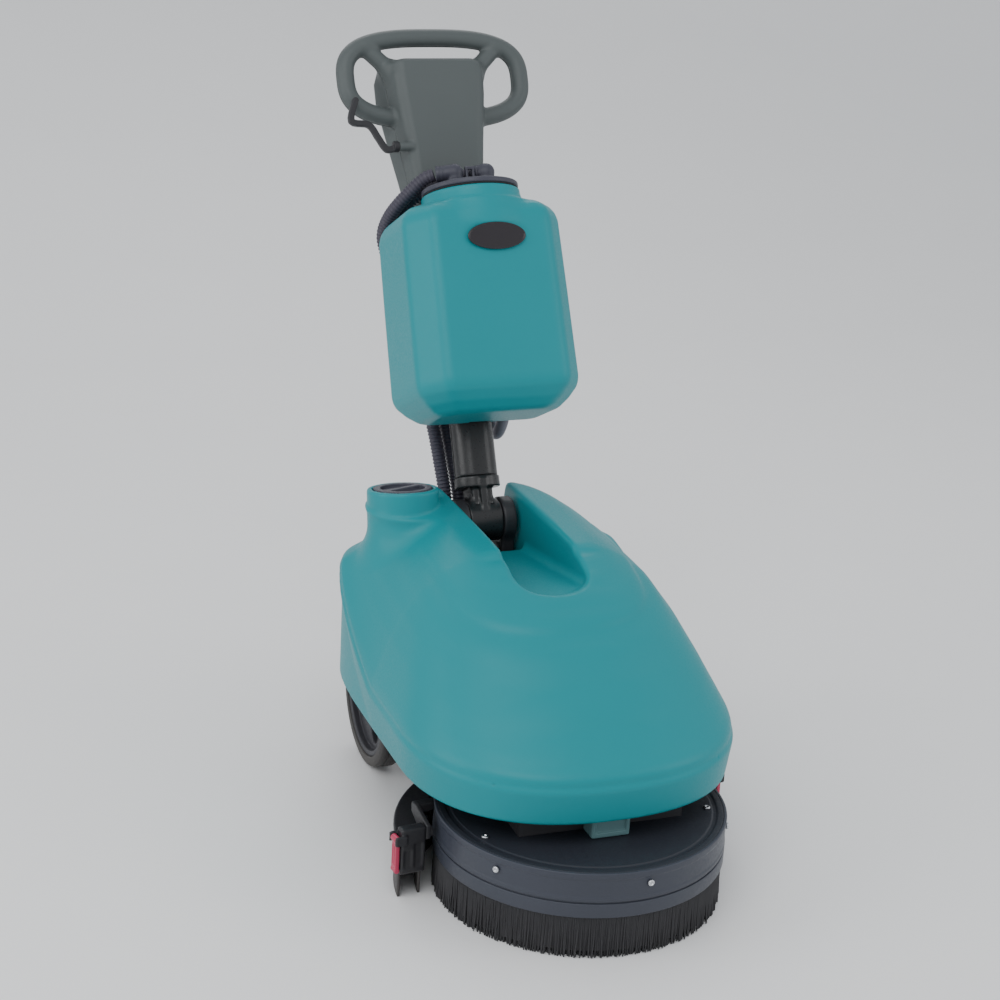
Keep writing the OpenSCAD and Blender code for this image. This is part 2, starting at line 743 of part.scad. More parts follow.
module control_panel() color(BLACK) lean_frame() difference() {
    box([-50, 35.3, 588], [50, 39.3, 640]);
    for (x = [-BUTTON_X, 0, BUTTON_X]) front_cyl([x, 50, CONTROLS_Z], 30, BUTTON_R + 0.1);
    // shallow recess above the controls
    box([-40, 38, 626], [40, 45, 634]);
}
module button(x) lean_frame() front_cyl([x, 43.6, CONTROLS_Z], 6, BUTTON_R);
module brush_button() color([0.1, 0.55, 0.3]) button(-BUTTON_X);
module vacuum_button() color([0.15, 0.35, 0.6]) button(BUTTON_X);
module key_switch() color(STEEL) lean_frame() translate([0, 0, CONTROLS_Z]) {
    half_thick = 1.5;
    front_cyl([0, 41.5, 0], 5, BUTTON_R);
    box([-half_thick, 41, -6], [half_thick, 60, 6]);
    translate([0, 62, 0]) xcyl(-half_thick, half_thick, 11);
}

// [x, z] points along the middle of the release lever
LEVER_LINE = [[-76, 538], [-90, 535], [-101, 552], [-113, 571], [-138, 577], [-129, 607]];
// flat bar along a line of points, rounded at the bends and at the last point
module bar_outline(line, width) for (i = [0:len(line) - 2]) {
    step = line[i + 1] - line[i];
    translate(line[i]) rotate(atan2(step[1], step[0])) translate([0, -width / 2])
        square([norm(step), width]);
    translate(line[i + 1]) circle(r = width / 2, $fn = 32);
}
module release_lever() color(DARK) lean_frame() resize([0, 0, 0]) {
    translate(LEVER_AXIS) xcyl(-80, -72, 8);
    translate(LEVER_AXIS) xcyl(-73, -63, LEVER_PIN_R);
    translate([0, -20, 0]) rotate([90, 0, 0]) linear_extrude(8) bar_outline(LEVER_LINE, 9);
}

// ---------- recovery tank (column frame) ----------

NECK_Y = -100;                    // axis of the tank's neck and lid
TANK_Z0 = 135;
NECK_TOP = 448;
// [x, y] corners of the tank's outline, and its half size and middle
TANK_CORNERS = [[119, 2], [-119, 2], [-119, -136], [-88, -176], [88, -176], [119, -136]];
TANK_HALF = [119, 89];
TANK_MID_Y = -87;
// levels of the outside: height, inset of the outline, neck radius
TANK = [[135, 36, 0], [138, 29, 0], [150, 15, 0], [164, 4, 0], [172, 1, 0], [180, 0, 0],
    [300, 2, 0], [400, 4, 75], [411, 7, 75], [420, 13, 74.2], [426, 22, 73.2],
    [429, 32, 72.4], [431.5, 60, 71.6], [441, 80, 69.4], [448, 80, 69]];
// levels of the inside, same columns
VOID = [[141, 36, 0], [150, 19, 0], [166, 4, 0], [180, 0.5, 0], [300, 2.5, 0],
    [400, 5, 0], [410, 9, 0], [418, 19, 0], [424, 0, 60.2], [455, 0, 60]];

// tank outline shrunk by inset, each corner rounded with n points
function tank_ring(inset, n = 6) = let (
    scale_x = (TANK_HALF.x - inset) / TANK_HALF.x,
    scale_y = (TANK_HALF.y - inset) / TANK_HALF.y,
    r = 24 - 0.2 * inset,
    corners = [for (p = TANK_CORNERS)
        [p.x * scale_x, TANK_MID_Y + (p.y - TANK_MID_Y) * scale_y]],
    m = len(corners))
    [for (i = [m - 1:-1:0]) let (
        corner = corners[i],
        to_last = unit(corners[(i + m - 1) % m] - corner),
        to_next = unit(corners[(i + 1) % m] - corner),
        half_angle = acos(clamp(to_last * to_next, -1, 1)) / 2,
        centre = corner + unit(to_last + to_next) * r / sin(half_angle),
        start = atan2(-to_next[0], to_next[1]),
        end = atan2(to_last[0], -to_last[1]),
        turn = (end - start + 720) % 360)
        for (j = [0:n - 1])
            let (a = start + (turn > 180 ? turn - 360 : turn) * j / (n - 1))
            [centre[0] + r * cos(a), centre[1] + r * sin(a)]];
// distance from the neck axis to an outline in direction a
function reach(outline, a) = min([for (i = [0:len(outline) - 1]) let (
    p = outline[i] - [0, NECK_Y],
    next = outline[(i + 1) % len(outline)] - [0, NECK_Y],
    normal = [next[1] - p[1], p[0] - next[0]],
    h = normal * p,
    k = sign(h) * (normal * [cos(a), sin(a)]))
    if (k > 0.000001) abs(h) / k]);
// point at radius r and angle a about the neck axis
function neck_point(r, a, z) = [r * cos(a), NECK_Y + r * sin(a), z];
// rings of n points; shift turns them by a part of a step
function tank_line(level, n, shift) = let (outline = tank_ring(level[1]))
    [for (i = [0:n - 1]) let (a = -360 * (i + shift) / n)
        neck_point(max(reach(outline, a), level[2]), a, level[0])];
// the inside also stays clear of the column slot at the rear
function void_line(level, n, shift) = let (
    outline = tank_ring(level[1]),
    in_neck = level[2] > 0)
    [for (i = [0:n - 1]) let (
        a = -360 * (i + shift) / n,
        free_r = in_neck ? level[2] : reach(outline, a) - 4,
        r = !in_neck && sin(a) > 0 ? min(free_r, 51 / sin(a)) : free_r)
        neck_point(r, a, level[0])];

module recovery_tank() color(TEAL) lean_frame() resize([0, 0, 0]) difference() {
    loft([for (level = TANK) tank_line(level, 72, 0.31)],
        [0, NECK_Y, TANK_Z0], [0, NECK_Y, NECK_TOP]);
    loft([for (level = VOID) void_line(level, 54, 0.12)],
        [0, NECK_Y, 141], [0, NECK_Y, 455]);
    // slots for the column and for the bracket's tongue
    box([-36, -30, 100], [36, 40, 500]);
    box([-16.2, -45.5, 100], [16.2, -20, 172.2]);
}
// oval plate on the tank's front
module tank_badge() color([0.12, 0.10, 0.12]) lean_frame()
    translate([4, -176.3, 372]) rotate([90, 0, 0]) linear_extrude(1.4)
        polygon([for (i = [0:47]) [42 * cos(i * 7.5), 19 * sin(i * 7.5)]]);

// from the tank's rear face, down round a bend and up along the column
DRAIN_WAY = [[62, 2.4, 168], [62, 9, 167.6], [61, 16, 162], [59, 20, 150], [56, 23, 139],
    [53, 30, 130], [51.5, 37, 127.5], [51, 44, 130], [51, 50, 139], [51.5, 52, 152],
    [54, 50, 180], [58, 40, 240], [60, 32, 300]];
module drain_hose() color([0.36, 0.35, 0.40]) lean_frame() sweep(spline(DRAIN_WAY, 3), 9, 14);

// ---------- tank lid (column frame) ----------

SUCTION_PORT_X = -19;
VACUUM_PORT_X = 28;
PORTS = [SUCTION_PORT_X, VACUUM_PORT_X];
PORT_SHIFT = 2;                   // ports lie this far behind the neck axis
PORT_Y = NECK_Y + PORT_SHIFT;

module lid_gasket() color(BLACK) lean_frame()
    translate([0, NECK_Y, NECK_TOP + 0.2]) difference() {
        cylinder(h = 2, r = lid_r - 1);
        zcyl(-1, 4, 60.5);
    }
module tank_lid() color(DARK) lean_frame() translate([0, NECK_Y, 0]) difference() {
    union() {
        zcyl(450.4, 7.6, lid_r);
        // rim that drops into the neck
        translate([0, 0, 440]) difference() {
            cylinder(h = 12, r = 59.6);
            zcyl(-1, 9, 55);
        }
        for (x = PORTS) translate([x, PORT_SHIFT, 0]) zcyl(455, 8, 14);
        // lifting bar
        box([-4.5, -4, 456], [-1, 0.5, 488]);
        box([-3, -4, 483.5], [7, 0.5, 488]);
        box([5.5, -4, 456], [9, 0.5, 488]);
    }
    for (x = PORTS) translate([x, PORT_SHIFT, 0]) zcyl(430, 60, 8.5);
}
// hollow bend on a lid port; turn aims its outlet
module elbow(port_x, turn, outlet_h) color(DARK) lean_frame()
    translate([port_x, PORT_Y, 0]) resize([0, 0, 0]) difference() {
        bend_z = 481;
        bore_r = 8;
        union() {
            zcyl(463.2, 18, 11, $fn = 40);
            translate([0, 0, bend_z]) sphere(r = 12, $fn = 40);
            translate([0, 0, bend_z]) rotate(turn) cylinder(h = outlet_h, r = 11.5, $fn = 40);
        }
        zcyl(460, 21, bore_r, $fn = 32);
        translate([0, 0, bend_z]) rotate(turn) cylinder(h = 30, r = bore_r, $fn = 32);
    }
module suction_elbow() elbow(SUCTION_PORT_X, [0, -90, -22], 26);
module vacuum_elbow() elbow(VACUUM_PORT_X, [-90, 0, 50], 20);

FLOAT_Z = 396.2;                  // underside of the float ball
FLOAT_R = 12;
module float_cage() color([0.85, 0.85, 0.85]) lean_frame()
    translate([VACUUM_PORT_X, PORT_Y, 0]) difference() {
        zcyl(392, 55.8, 18);
        zcyl(396, 80, 15);
        for (a = [0, 60, 120]) rotate(a) box([-30, -5, 400], [30, 5, 440]);
    }
module float_ball() color([0.9, 0.5, 0.2]) lean_frame()
    translate([VACUUM_PORT_X, PORT_Y, FLOAT_Z + FLOAT_R]) sphere(r = FLOAT_R);

// ---------- hoses ----------

// way points from lid to rear cover as [x, forward, up the column]
RECOVERY_WAY = [[-46, 87, 480.6], [-58, 80, 477], [-72, 64, 466], [-86, 42, 452],
    [-95, 16, 438], [-98, -8, 420], [-92, -22, 396], [-78, -24, 330], [-60, -28, 230],
    [-46, -34, 150], [-40, -36, 90], [-37, -38, 40]];
VACUUM_WAY = [[10.8, 83.6, 481], [2, 76, 480.5], [-18, 64, 478], [-40, 54, 472],
    [-60, 40, 462], [-74, 20, 450], [-76, -8, 434], [-72, -30, 415], [-66, -44, 396],
    [-54, -46, 330], [-36, -44, 230], [-24, -42, 150], [-18, -42, 90], [-15, -42, 40]];
// follows the way points, then drops into the cover; above_y is the y of the
// point over the entry
module hose(way, entry_x, above_y) color(HOSE)
    sweep(spline(concat([for (p = way) from_lean(p)],
        [[entry_x, above_y, 340], [entry_x, ENTRY_Y, 296]]), 3), hose_d / 2, 12);
module recovery_hose() hose(RECOVERY_WAY, RECOVERY_ENTRY_X, ENTRY_Y);
module vacuum_hose() hose(VACUUM_WAY, VACUUM_ENTRY_X, ENTRY_Y + 1);

// ---------- nodes ----------

chassis_frame();
wheel_axle();
solution_tank();
front_support_block();
rear_cover();
battery_pack();
motor_controller();
brush_gearmotor();
vacuum_housing();
water_valve();
solution_feed_hose();
handle_yoke();
pivot_pin();
deck_cover();
deck_band();
skirt_ring();
skirt_bristles();
deck_screws();
squeegee_brackets();
charge_socket();
right_tyre();
right_rim();
right_hub_cap();
left_tyre();
left_rim();
left_hub_cap();
brush_drive_shaft();
brush_disc();
brush_bristles();
vacuum_impeller();
squeegee_body();
squeegee_front_blade();
squeegee_rear_blade();
squeegee_straps();
suction_nozzle();
right_latch();
left_latch();
filler_cap();
filler_strainer();
handle_column();
column_knuckle();
handle_shell_front();
handle_shell_rear();
control_panel();
brush_button();
vacuum_button();
key_switch();
release_lever();
tank_bracket();
recovery_tank();
drain_hose();
tank_badge();
tank_lid();
lid_gasket();
suction_elbow();
vacuum_elbow();
float_cage();
float_ball();
recovery_hose();
vacuum_hose();
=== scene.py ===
"""Walk-behind floor scrubber: a round brush deck under a moulded hood, a waste tank on a
leaning handle column, a curved squeegee behind the deck and two wheels.

Shapes are in millimetres, stage and camera in metres. The floor is z = 0, the deck is
centred on the z axis, the front faces -y and the machine's left is +x.
"""
import json
import math

import bpy
import numpy as np
from mathutils import Matrix, Vector

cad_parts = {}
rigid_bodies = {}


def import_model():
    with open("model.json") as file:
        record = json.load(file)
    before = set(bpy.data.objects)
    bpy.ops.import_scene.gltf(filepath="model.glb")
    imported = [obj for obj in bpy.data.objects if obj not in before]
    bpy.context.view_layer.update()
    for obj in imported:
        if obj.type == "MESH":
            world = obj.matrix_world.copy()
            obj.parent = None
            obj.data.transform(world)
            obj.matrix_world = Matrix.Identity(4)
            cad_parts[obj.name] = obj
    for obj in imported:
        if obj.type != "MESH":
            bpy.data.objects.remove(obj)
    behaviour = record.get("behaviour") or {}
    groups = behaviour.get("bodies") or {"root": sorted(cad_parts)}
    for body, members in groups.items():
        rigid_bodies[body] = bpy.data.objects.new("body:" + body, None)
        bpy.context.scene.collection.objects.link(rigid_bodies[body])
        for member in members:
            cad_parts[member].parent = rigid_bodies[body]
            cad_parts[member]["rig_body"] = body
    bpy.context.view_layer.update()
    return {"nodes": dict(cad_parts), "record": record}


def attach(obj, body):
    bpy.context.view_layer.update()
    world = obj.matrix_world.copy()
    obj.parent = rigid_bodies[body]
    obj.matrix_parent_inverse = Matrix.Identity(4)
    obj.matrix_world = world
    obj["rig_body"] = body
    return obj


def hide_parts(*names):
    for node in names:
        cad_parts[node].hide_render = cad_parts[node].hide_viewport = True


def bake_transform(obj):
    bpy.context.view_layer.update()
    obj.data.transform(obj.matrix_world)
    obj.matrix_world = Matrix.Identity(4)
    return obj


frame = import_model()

COARSEN = 1.0     # scales every sampling step
rng = np.random.default_rng(7)
NODES = frame["nodes"]
SLOTS = {part["node"]: part["material_slot"] for part in frame["record"]["subparts"]}


# ---------------------------------------------------------------- materials
def material(name, colour, rough=0.45, metal=0.0, vary=0.06, grain=260.0, bump=0.06,
             wear=0.25, coat=0.0, dust=0.06, brushed=False, rough_vary=0.08, specular=0.36):
    """Grained surface with slow colour variation, paler edges and dust near the floor."""
    made = bpy.data.materials.new(name)
    made.use_nodes = True
    tree = made.node_tree
    tree.nodes.clear()

    def plug(node, sockets):
        for key, value in sockets.items():
            if isinstance(value, bpy.types.NodeSocket):
                tree.links.new(value, node.inputs[key])
            else:
                node.inputs[key].default_value = value

    def add(kind, sockets=None):
        node = tree.nodes.new("ShaderNode" + kind)
        plug(node, sockets or {})
        return node

    def shade(gain, lift):
        return tuple(min(c * gain + lift, 1) for c in colour) + (1,)

    output = add("OutputMaterial")
    surface = add("BsdfPrincipled")
    plug(output, {0: surface.outputs[0]})
    coords = add("TexCoord").outputs["Object"]
    mapping = add("Mapping", {0: coords})
    if brushed:
        plug(mapping, {"Scale": (1.0, 1.0, 0.06)})
    fine = add("TexNoise", {"Scale": grain, "Detail": 5, "Vector": mapping.outputs[0]})
    slow = add("TexNoise", {"Scale": 6.0, "Detail": 4, "Vector": coords})
    varied = add("MixRGB", {0: slow.outputs["Fac"], 1: shade(1 - vary, 0),
                            2: shade(1 + vary, 0.003)})

    geometry = add("NewGeometry")
    ramp = add("ValToRGB", {0: geometry.outputs["Pointiness"]})
    ramp.color_ramp.elements[0].position = 0.52
    ramp.color_ramp.elements[1].position = 0.62
    worn = add("Math", {0: ramp.outputs[0], 1: wear})
    worn.operation = "MULTIPLY"
    edged = add("MixRGB", {0: worn.outputs[0], 1: varied.outputs[0], 2: shade(1.5, 0.04)})

    # dust fades from the floor to 0.12 m up
    split = add("SeparateXYZ", {0: coords})
    low = add("MapRange", {0: split.outputs["Z"], 1: 0.12, 2: 0.0, 3: 0.0, 4: dust})
    dusting = add("Math", {0: low.outputs[0], 1: slow.outputs["Fac"]})
    dusting.operation = "MULTIPLY"
    dusted = add("MixRGB", {0: dusting.outputs[0], 1: edged.outputs[0],
                            2: (0.30, 0.28, 0.25, 1)})

    roughness = add("MapRange", {0: fine.outputs["Fac"], 1: 0.3, 2: 0.7,
                                 3: max(rough - rough_vary, 0.03),
                                 4: min(rough + rough_vary, 1)})
    plug(surface, {"Base Color": dusted.outputs[0], "Roughness": roughness.outputs[0],
                   "Metallic": metal, "Specular IOR Level": specular})
    if coat:
        plug(surface, {"Coat Weight": coat, "Coat Roughness": 0.25})
    relief = add("Bump", {"Strength": bump, "Distance": 0.0006, "Height": fine.outputs["Fac"]})
    plug(surface, {"Normal": relief.outputs[0]})
    return made


# material slot: arguments of material(); the material takes the slot's name unless given
FINISHES = {
    "teal_plastic": dict(name="teal", colour=(0.0, 0.215, 0.245), rough=0.42, bump=0.10,
                         vary=0.035, wear=0.06, grain=420, specular=0.26),
    "chassis_black": dict(colour=(0.022, 0.022, 0.025), bump=0.15),
    "zinc_steel": dict(colour=(0.58, 0.59, 0.61), rough=0.30, metal=1.0, bump=0.05, wear=0.05),
    "deck_slate": dict(colour=(0.035, 0.040, 0.055), rough=0.42, bump=0.12, wear=0.35),
    # darker copy of the deck finish; on the deck cover it is painted shade from the hood above
    "deck_dark": dict(colour=(0.017, 0.020, 0.028), rough=0.5, bump=0.15),
    "dark_plastic": dict(colour=(0.026, 0.026, 0.033), rough=0.5, bump=0.2),
    "grey_green_plastic": dict(name="grey_green", colour=(0.10, 0.20, 0.21), rough=0.5,
                               bump=0.15),
    "battery_plastic": dict(colour=(0.06, 0.06, 0.07), rough=0.55, bump=0.15),
    "cast_motor": dict(colour=(0.30, 0.31, 0.33), rough=0.5, metal=0.8, bump=0.4, grain=180),
    "clear_hose": dict(colour=(0.52, 0.56, 0.58), rough=0.25),
    "bristle_black": dict(colour=(0.012, 0.012, 0.015), rough=0.6, vary=0.3, grain=90),
    "bristle_blue": dict(colour=(0.02, 0.05, 0.18), rough=0.5, vary=0.3, grain=90),
    "tyre_rubber": dict(colour=(0.018, 0.018, 0.020), rough=0.72, bump=0.3, dust=0.35),
    "hub_grey": dict(colour=(0.31, 0.31, 0.385), rough=0.42, bump=0.08),
    "blade_rubber": dict(colour=(0.035, 0.032, 0.033), rough=0.6, bump=0.15, dust=0.2),
    "squeegee_black": dict(colour=(0.013, 0.013, 0.016), rough=0.42, bump=0.15),
    "strap_steel": dict(colour=(0.62, 0.63, 0.66), rough=0.28, metal=1.0, brushed=True,
                        wear=0.05),
    "latch_red": dict(colour=(0.43, 0.022, 0.075), rough=0.35, coat=0.3),
    "cap_grey": dict(colour=(0.040, 0.041, 0.058), bump=0.12, wear=0.3),
    "handle_grey": dict(colour=(0.068, 0.080, 0.080), rough=0.50, bump=0.22, grain=520,
                        wear=0.15),
    "column_black": dict(colour=(0.013, 0.013, 0.014), rough=0.33, coat=0.2),
    "panel_black": dict(colour=(0.018, 0.018, 0.021), rough=0.5, bump=0.2),
    "button_green": dict(colour=(0.02, 0.30, 0.09), rough=0.35),
    "button_blue": dict(colour=(0.02, 0.09, 0.42), rough=0.35),
    "badge_dark": dict(colour=(0.010, 0.007, 0.010), rough=0.25, coat=0.3, bump=0.0,
                       rough_vary=0.02, wear=0.0),
    "hose_purple_grey": dict(colour=(0.042, 0.038, 0.056), rough=0.48, wear=0.5),
    "drain_grey": dict(colour=(0.16, 0.155, 0.185)),
    "float_white": dict(colour=(0.7, 0.7, 0.69), rough=0.4),
    "float_orange": dict(colour=(0.75, 0.2, 0.03), rough=0.4),
    "gasket_rubber": dict(colour=(0.015, 0.015, 0.015), rough=0.8, bump=0.3),
}
MATERIALS = {slot: material(**{"name": slot, **finish}) for slot, finish in FINISHES.items()}

# ---------------------------------------------------------------- distance fields
# A field is negative inside its shape. both and either are the sharp intersection and
# union; the last argument of overlap, merge, cut, box and rod is an edge radius.
both, either, hypot = np.maximum, np.minimum, np.hypot


def overlap(one, two, r):
    """Intersection with a rounded edge."""
    return either(both(one, two), -r) + hypot(both(one + r, 0), both(two + r, 0))


def merge(one, two, r):
    """Union with a fillet."""
    return both(either(one, two), r) - hypot(both(r - one, 0), both(r - two, 0))


def cut(one, two, r):
    """The first shape without the second."""
    return overlap(one, -two, r)


def within(value, low, high):
    return both(low - value, value - high)


def bell(offset, width):
    return np.exp(-(offset / width) ** 2)


def xyz(pts):
    return pts[..., 0], pts[..., 1], pts[..., 2]


def mirrored(pts, side=None):
    """Points folded onto +x, or multiplied by side along x."""
    x, y, z = xyz(pts)
    return np.stack([np.abs(x) if side is None else side * x, y, z], -1)


def box(pts, lo, hi, r):
    past = [np.abs(pts[..., i] - (lo[i] + hi[i]) / 2) - ((hi[i] - lo[i]) / 2 - r)
            for i in range(3)]
    outside = np.sqrt(sum_squares(*[both(q, 0) for q in past]))
    return outside + either(both(past[0], both(past[1], past[2])), 0) - r


def sum_squares(x, y, z):
    return x ** 2 + y ** 2 + z ** 2


def rod(pts, start, end, radius, r):
    start, end = np.array(start, float), np.array(end, float)
    length = np.linalg.norm(end - start)
    along = (pts - start) @ ((end - start) / length)
    radial = np.sqrt(both(((pts - start) ** 2).sum(-1) - along * along, 0))
    past_side = radial - (radius - r)
    past_end = np.abs(along - length / 2) - (length / 2 - r)
    return (either(both(past_side, past_end), 0)
            + hypot(both(past_side, 0), both(past_end, 0)) - r)


def ball(pts, centre, radius):
    return np.sqrt(((pts - centre) ** 2).sum(-1)) - radius


def capsule(pts, start, end, radius):
    start, end = np.array(start, float), np.array(end, float)
    axis = end - start
    share = np.clip(((pts - start) @ axis) / (axis @ axis), 0, 1)
    return np.sqrt(((pts - start - share[..., None] * axis) ** 2).sum(-1)) - radius


def polygon(x, y, corners):
    """Signed distance to a closed polygon."""
    corners = np.array(corners, float)
    squared = np.full(x.shape, 1e9)
    sign = np.ones(x.shape)
    for i in range(len(corners)):
        (x0, y0), (x1, y1) = corners[i], corners[i - 1]
        edge_x, edge_y = x1 - x0, y1 - y0
        off_x, off_y = x - x0, y - y0
        share = np.clip((off_x * edge_x + off_y * edge_y)
                        / (edge_x * edge_x + edge_y * edge_y), 0, 1)
        squared = either(squared, (off_x - edge_x * share) ** 2 + (off_y - edge_y * share) ** 2)
        above, below, left = y >= y0, y < y1, edge_x * off_y > edge_y * off_x
        sign = np.where((above & below & left) | (~above & ~below & ~left), -sign, sign)
    return sign * np.sqrt(squared)


def inset(corners, distance):
    """Convex polygon with its sides moved inwards."""
    corners = np.array(corners, float)
    centre = corners.mean(0)
    normals, offsets = [], []
    for start, end in zip(corners, np.roll(corners, -1, 0)):
        edge = (end - start) / np.linalg.norm(end - start)
        normal = np.array([edge[1], -edge[0]])
        if normal @ (start - centre) < 0:
            normal = -normal
        normals.append(normal)
        offsets.append(normal @ start - distance)
    return [np.linalg.solve(np.array([normals[i - 1], normals[i]]),
                            np.array([offsets[i - 1], offsets[i]]))
            for i in range(len(corners))]


# ---------------------------------------------------------------- meshing
CUBE = [(i, j, k) for i in (0, 1) for j in (0, 1) for k in (0, 1)]


def surface_net(samples, origin, step):
    """Quads of the zero surface, with one vertex in each cell that it crosses."""
    inside = samples < 0
    nx, ny, nz = samples.shape
    count = np.zeros((nx - 1, ny - 1, nz - 1), np.int8)
    for i, j, k in CUBE:
        count += inside[i:nx - 1 + i, j:ny - 1 + j, k:nz - 1 + k]
    mixed = (count > 0) & (count < 8)
    cells = np.argwhere(mixed)
    index = np.full(mixed.shape, -1, np.int64)
    index[mixed] = np.arange(len(cells))

    # each vertex is the mean of the crossings on its cell's edges
    total = np.zeros((len(cells), 3))
    crossings = np.zeros(len(cells))
    for corner in CUBE:
        for axis in range(3):
            if corner[axis]:
                continue
            edge = np.eye(3, dtype=int)[axis]
            here = samples[tuple((cells + corner).T)]
            there = samples[tuple((cells + corner + edge).T)]
            crosses = (here < 0) != (there < 0)
            share = np.where(crosses, here / np.where(here == there, 1, here - there), 0)
            total += (np.array(corner, float) + share[:, None] * edge) * crosses[:, None]
            crossings += crosses
    verts = cells + total / np.maximum(crossings, 1)[:, None]

    faces = []
    for axis in range(3):
        right, up = (axis + 1) % 3, (axis + 2) % 3
        edges = np.argwhere(np.diff(inside, axis=axis))
        edges = edges[(edges[:, right] > 0) & (edges[:, up] > 0)
                      & (edges[:, right] < inside.shape[right] - 1)
                      & (edges[:, up] < inside.shape[up] - 1)]
        quads = []
        for right_shift, up_shift in ((0, 0), (-1, 0), (-1, -1), (0, -1)):
            cell = edges.copy()
            cell[:, right] += right_shift
            cell[:, up] += up_shift
            quads.append(index[tuple(cell.T)])
        quads = np.stack(quads, 1)
        turned = ~inside[tuple(edges.T)]
        quads[turned] = quads[turned][:, ::-1]
        faces.append(quads)
    return verts * step + origin, np.concatenate(faces)


def trilinear(samples, spots):
    spots = np.clip(spots, 0, np.array(samples.shape) - 1.001)
    cells = spots.astype(int)
    part = spots - cells
    value = 0
    for corner in CUBE:
        weight = np.where(corner, part, 1 - part)
        value = value + (weight[:, 0] * weight[:, 1] * weight[:, 2]
                         * samples[tuple((cells + corner).T)])
    return value


def grid(lo, hi, step):
    """Sample positions along x, y and z, a little beyond the box, and their step."""
    step = step * COARSEN
    lo = np.array(lo, float) - 1.7 * step
    count = np.ceil((np.array(hi, float) + 1.7 * step - lo) / step).astype(int) + 1
    return [lo[i] + step * np.arange(count[i]) for i in range(3)], step


def piece(node, geometry, pose=None, material=None, smooth=True):
    """Object from (vertices, faces) that takes the CAD node's body, place and slot."""
    obj = new_object(node, geometry, pose, material or MATERIALS[SLOTS[node]], smooth)
    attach(obj, NODES[node]["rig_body"])
    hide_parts(node)


def new_object(node, geometry, pose, material, smooth=True):
    verts, faces = geometry
    verts = np.asarray(verts, float)
    if pose is not None:
        verts = verts @ np.array(pose[0]).T + np.array(pose[1])
    name = "v_" + node
    mesh = bpy.data.meshes.new(name)
    mesh.from_pydata((verts / 1000.0).tolist(), [], [list(map(int, face)) for face in faces])
    mesh.update()
    if smooth:
        mesh.polygons.foreach_set("use_smooth", [True] * len(mesh.polygons))
    obj = bpy.data.objects.new(name, mesh)
    bpy.context.scene.collection.objects.link(obj)
    mesh.materials.append(material)
    return obj


def sampled_piece(node, samples, axes, step, pose=None, value_at=None):
    """Mesh of a sampled field; value_at gives the exact field where there is one."""
    origin = np.array([axis[0] for axis in axes])
    for axis in range(3):     # close the surface at the sides of the box
        layers = np.moveaxis(samples, axis, 0)
        layers[0], layers[-1] = both(layers[0], step), both(layers[-1], step)
    verts, faces = surface_net(samples, origin, step)
    probe = 0.05 * step
    if value_at is None:
        probe = 0.5 * step

        def value_at(pts):
            return trilinear(samples, (pts - origin) / step)

    for _ in range(2):        # settle the vertices on the surface
        value = value_at(verts)
        slope = np.stack([value_at(verts + shift) - value_at(verts - shift)
                          for shift in np.eye(3) * probe], -1) / (2 * probe)
        move = -(value / both((slope ** 2).sum(-1), 0.2))[:, None] * slope
        length = np.linalg.norm(move, axis=1)
        move *= either(1, 0.5 * step / both(length, 1e-9))[:, None]
        verts = verts + move
    piece(node, (verts, faces), pose)


def field_piece(node, field, lo, hi, step, pose=None):
    """Mesh of a field inside the box lo..hi, sampled in slabs to save memory."""
    axes, step = grid(lo, hi, step)
    samples = np.empty([len(axis) for axis in axes])
    for i in range(0, len(axes[0]), 24):
        slab = np.meshgrid(axes[0][i:i + 24], axes[1], axes[2], indexing="ij")
        samples[i:i + 24] = field(np.stack(slab, -1))
    sampled_piece(node, samples, axes, step, pose, field)


def ring_faces(rings, size, closed=False, flip=False):
    """Quads between successive rings; an open run gets a face at either end."""
    faces = []
    for i in range(rings if closed else rings - 1):
        here, after = i * size, (i + 1) % rings * size
        for j in range(size):
            k = (j + 1) % size
            quad = [here + j, after + j, after + k, here + k]
            faces.append([quad[0], quad[3], quad[2], quad[1]] if flip else quad)
    if not closed:
        order = -1 if flip else 1
        faces.append(list(range(size))[::order])
        faces.append([(rings - 1) * size + j for j in range(size)][::-order])
    return faces


def sweep_points(profile, angles):
    profile = np.array(profile, float)
    return np.stack([profile[None, :, 0] * np.cos(angles)[:, None],
                     profile[None, :, 0] * np.sin(angles)[:, None],
                     np.repeat(profile[None, :, 1], len(angles), 0)], -1).reshape(-1, 3)


def revolve(profile, count, axis="z", centre=(0, 0, 0)):
    """Closed profile of (radius, height) points turned about an axis."""
    verts = sweep_points(profile, 2 * math.pi * np.arange(count) / count)
    if axis == "x":
        verts = verts[:, [2, 0, 1]]
    return verts + np.array(centre), ring_faces(count, len(profile), closed=True)


def arc_sweep(profile, start, end, count):
    """Closed (radius, height) profile swept between two angles in degrees."""
    verts = sweep_points(profile, np.radians(np.linspace(start, end, count)))
    return verts, ring_faces(count, len(profile))


def rect(low_r, low_z, high_r, high_z):
    return [(low_r, low_z), (high_r, low_z), (high_r, high_z), (low_r, high_z)]


def fillet(profile, radii, segments=4):
    """Rounds the corners of a closed profile; radii is one radius or one per corner."""
    out = []
    count = len(profile)
    for i in range(count):
        before, corner, after = (np.array(profile[j % count], float) for j in (i - 1, i, i + 1))
        radius = radii[i] if isinstance(radii, list) else radii
        back, ahead = before - corner, after - corner
        back_len, ahead_len = np.linalg.norm(back), np.linalg.norm(ahead)
        reach = min(radius, 0.45 * back_len, 0.45 * ahead_len)
        if reach < 0.05:
            out.append(corner)
            continue
        start = corner + back / back_len * reach
        end = corner + ahead / ahead_len * reach
        for t in np.linspace(0, 1, segments + 1):
            out.append((1 - t) ** 2 * start + 2 * t * (1 - t) * corner + t * t * end)
    return np.array(out)


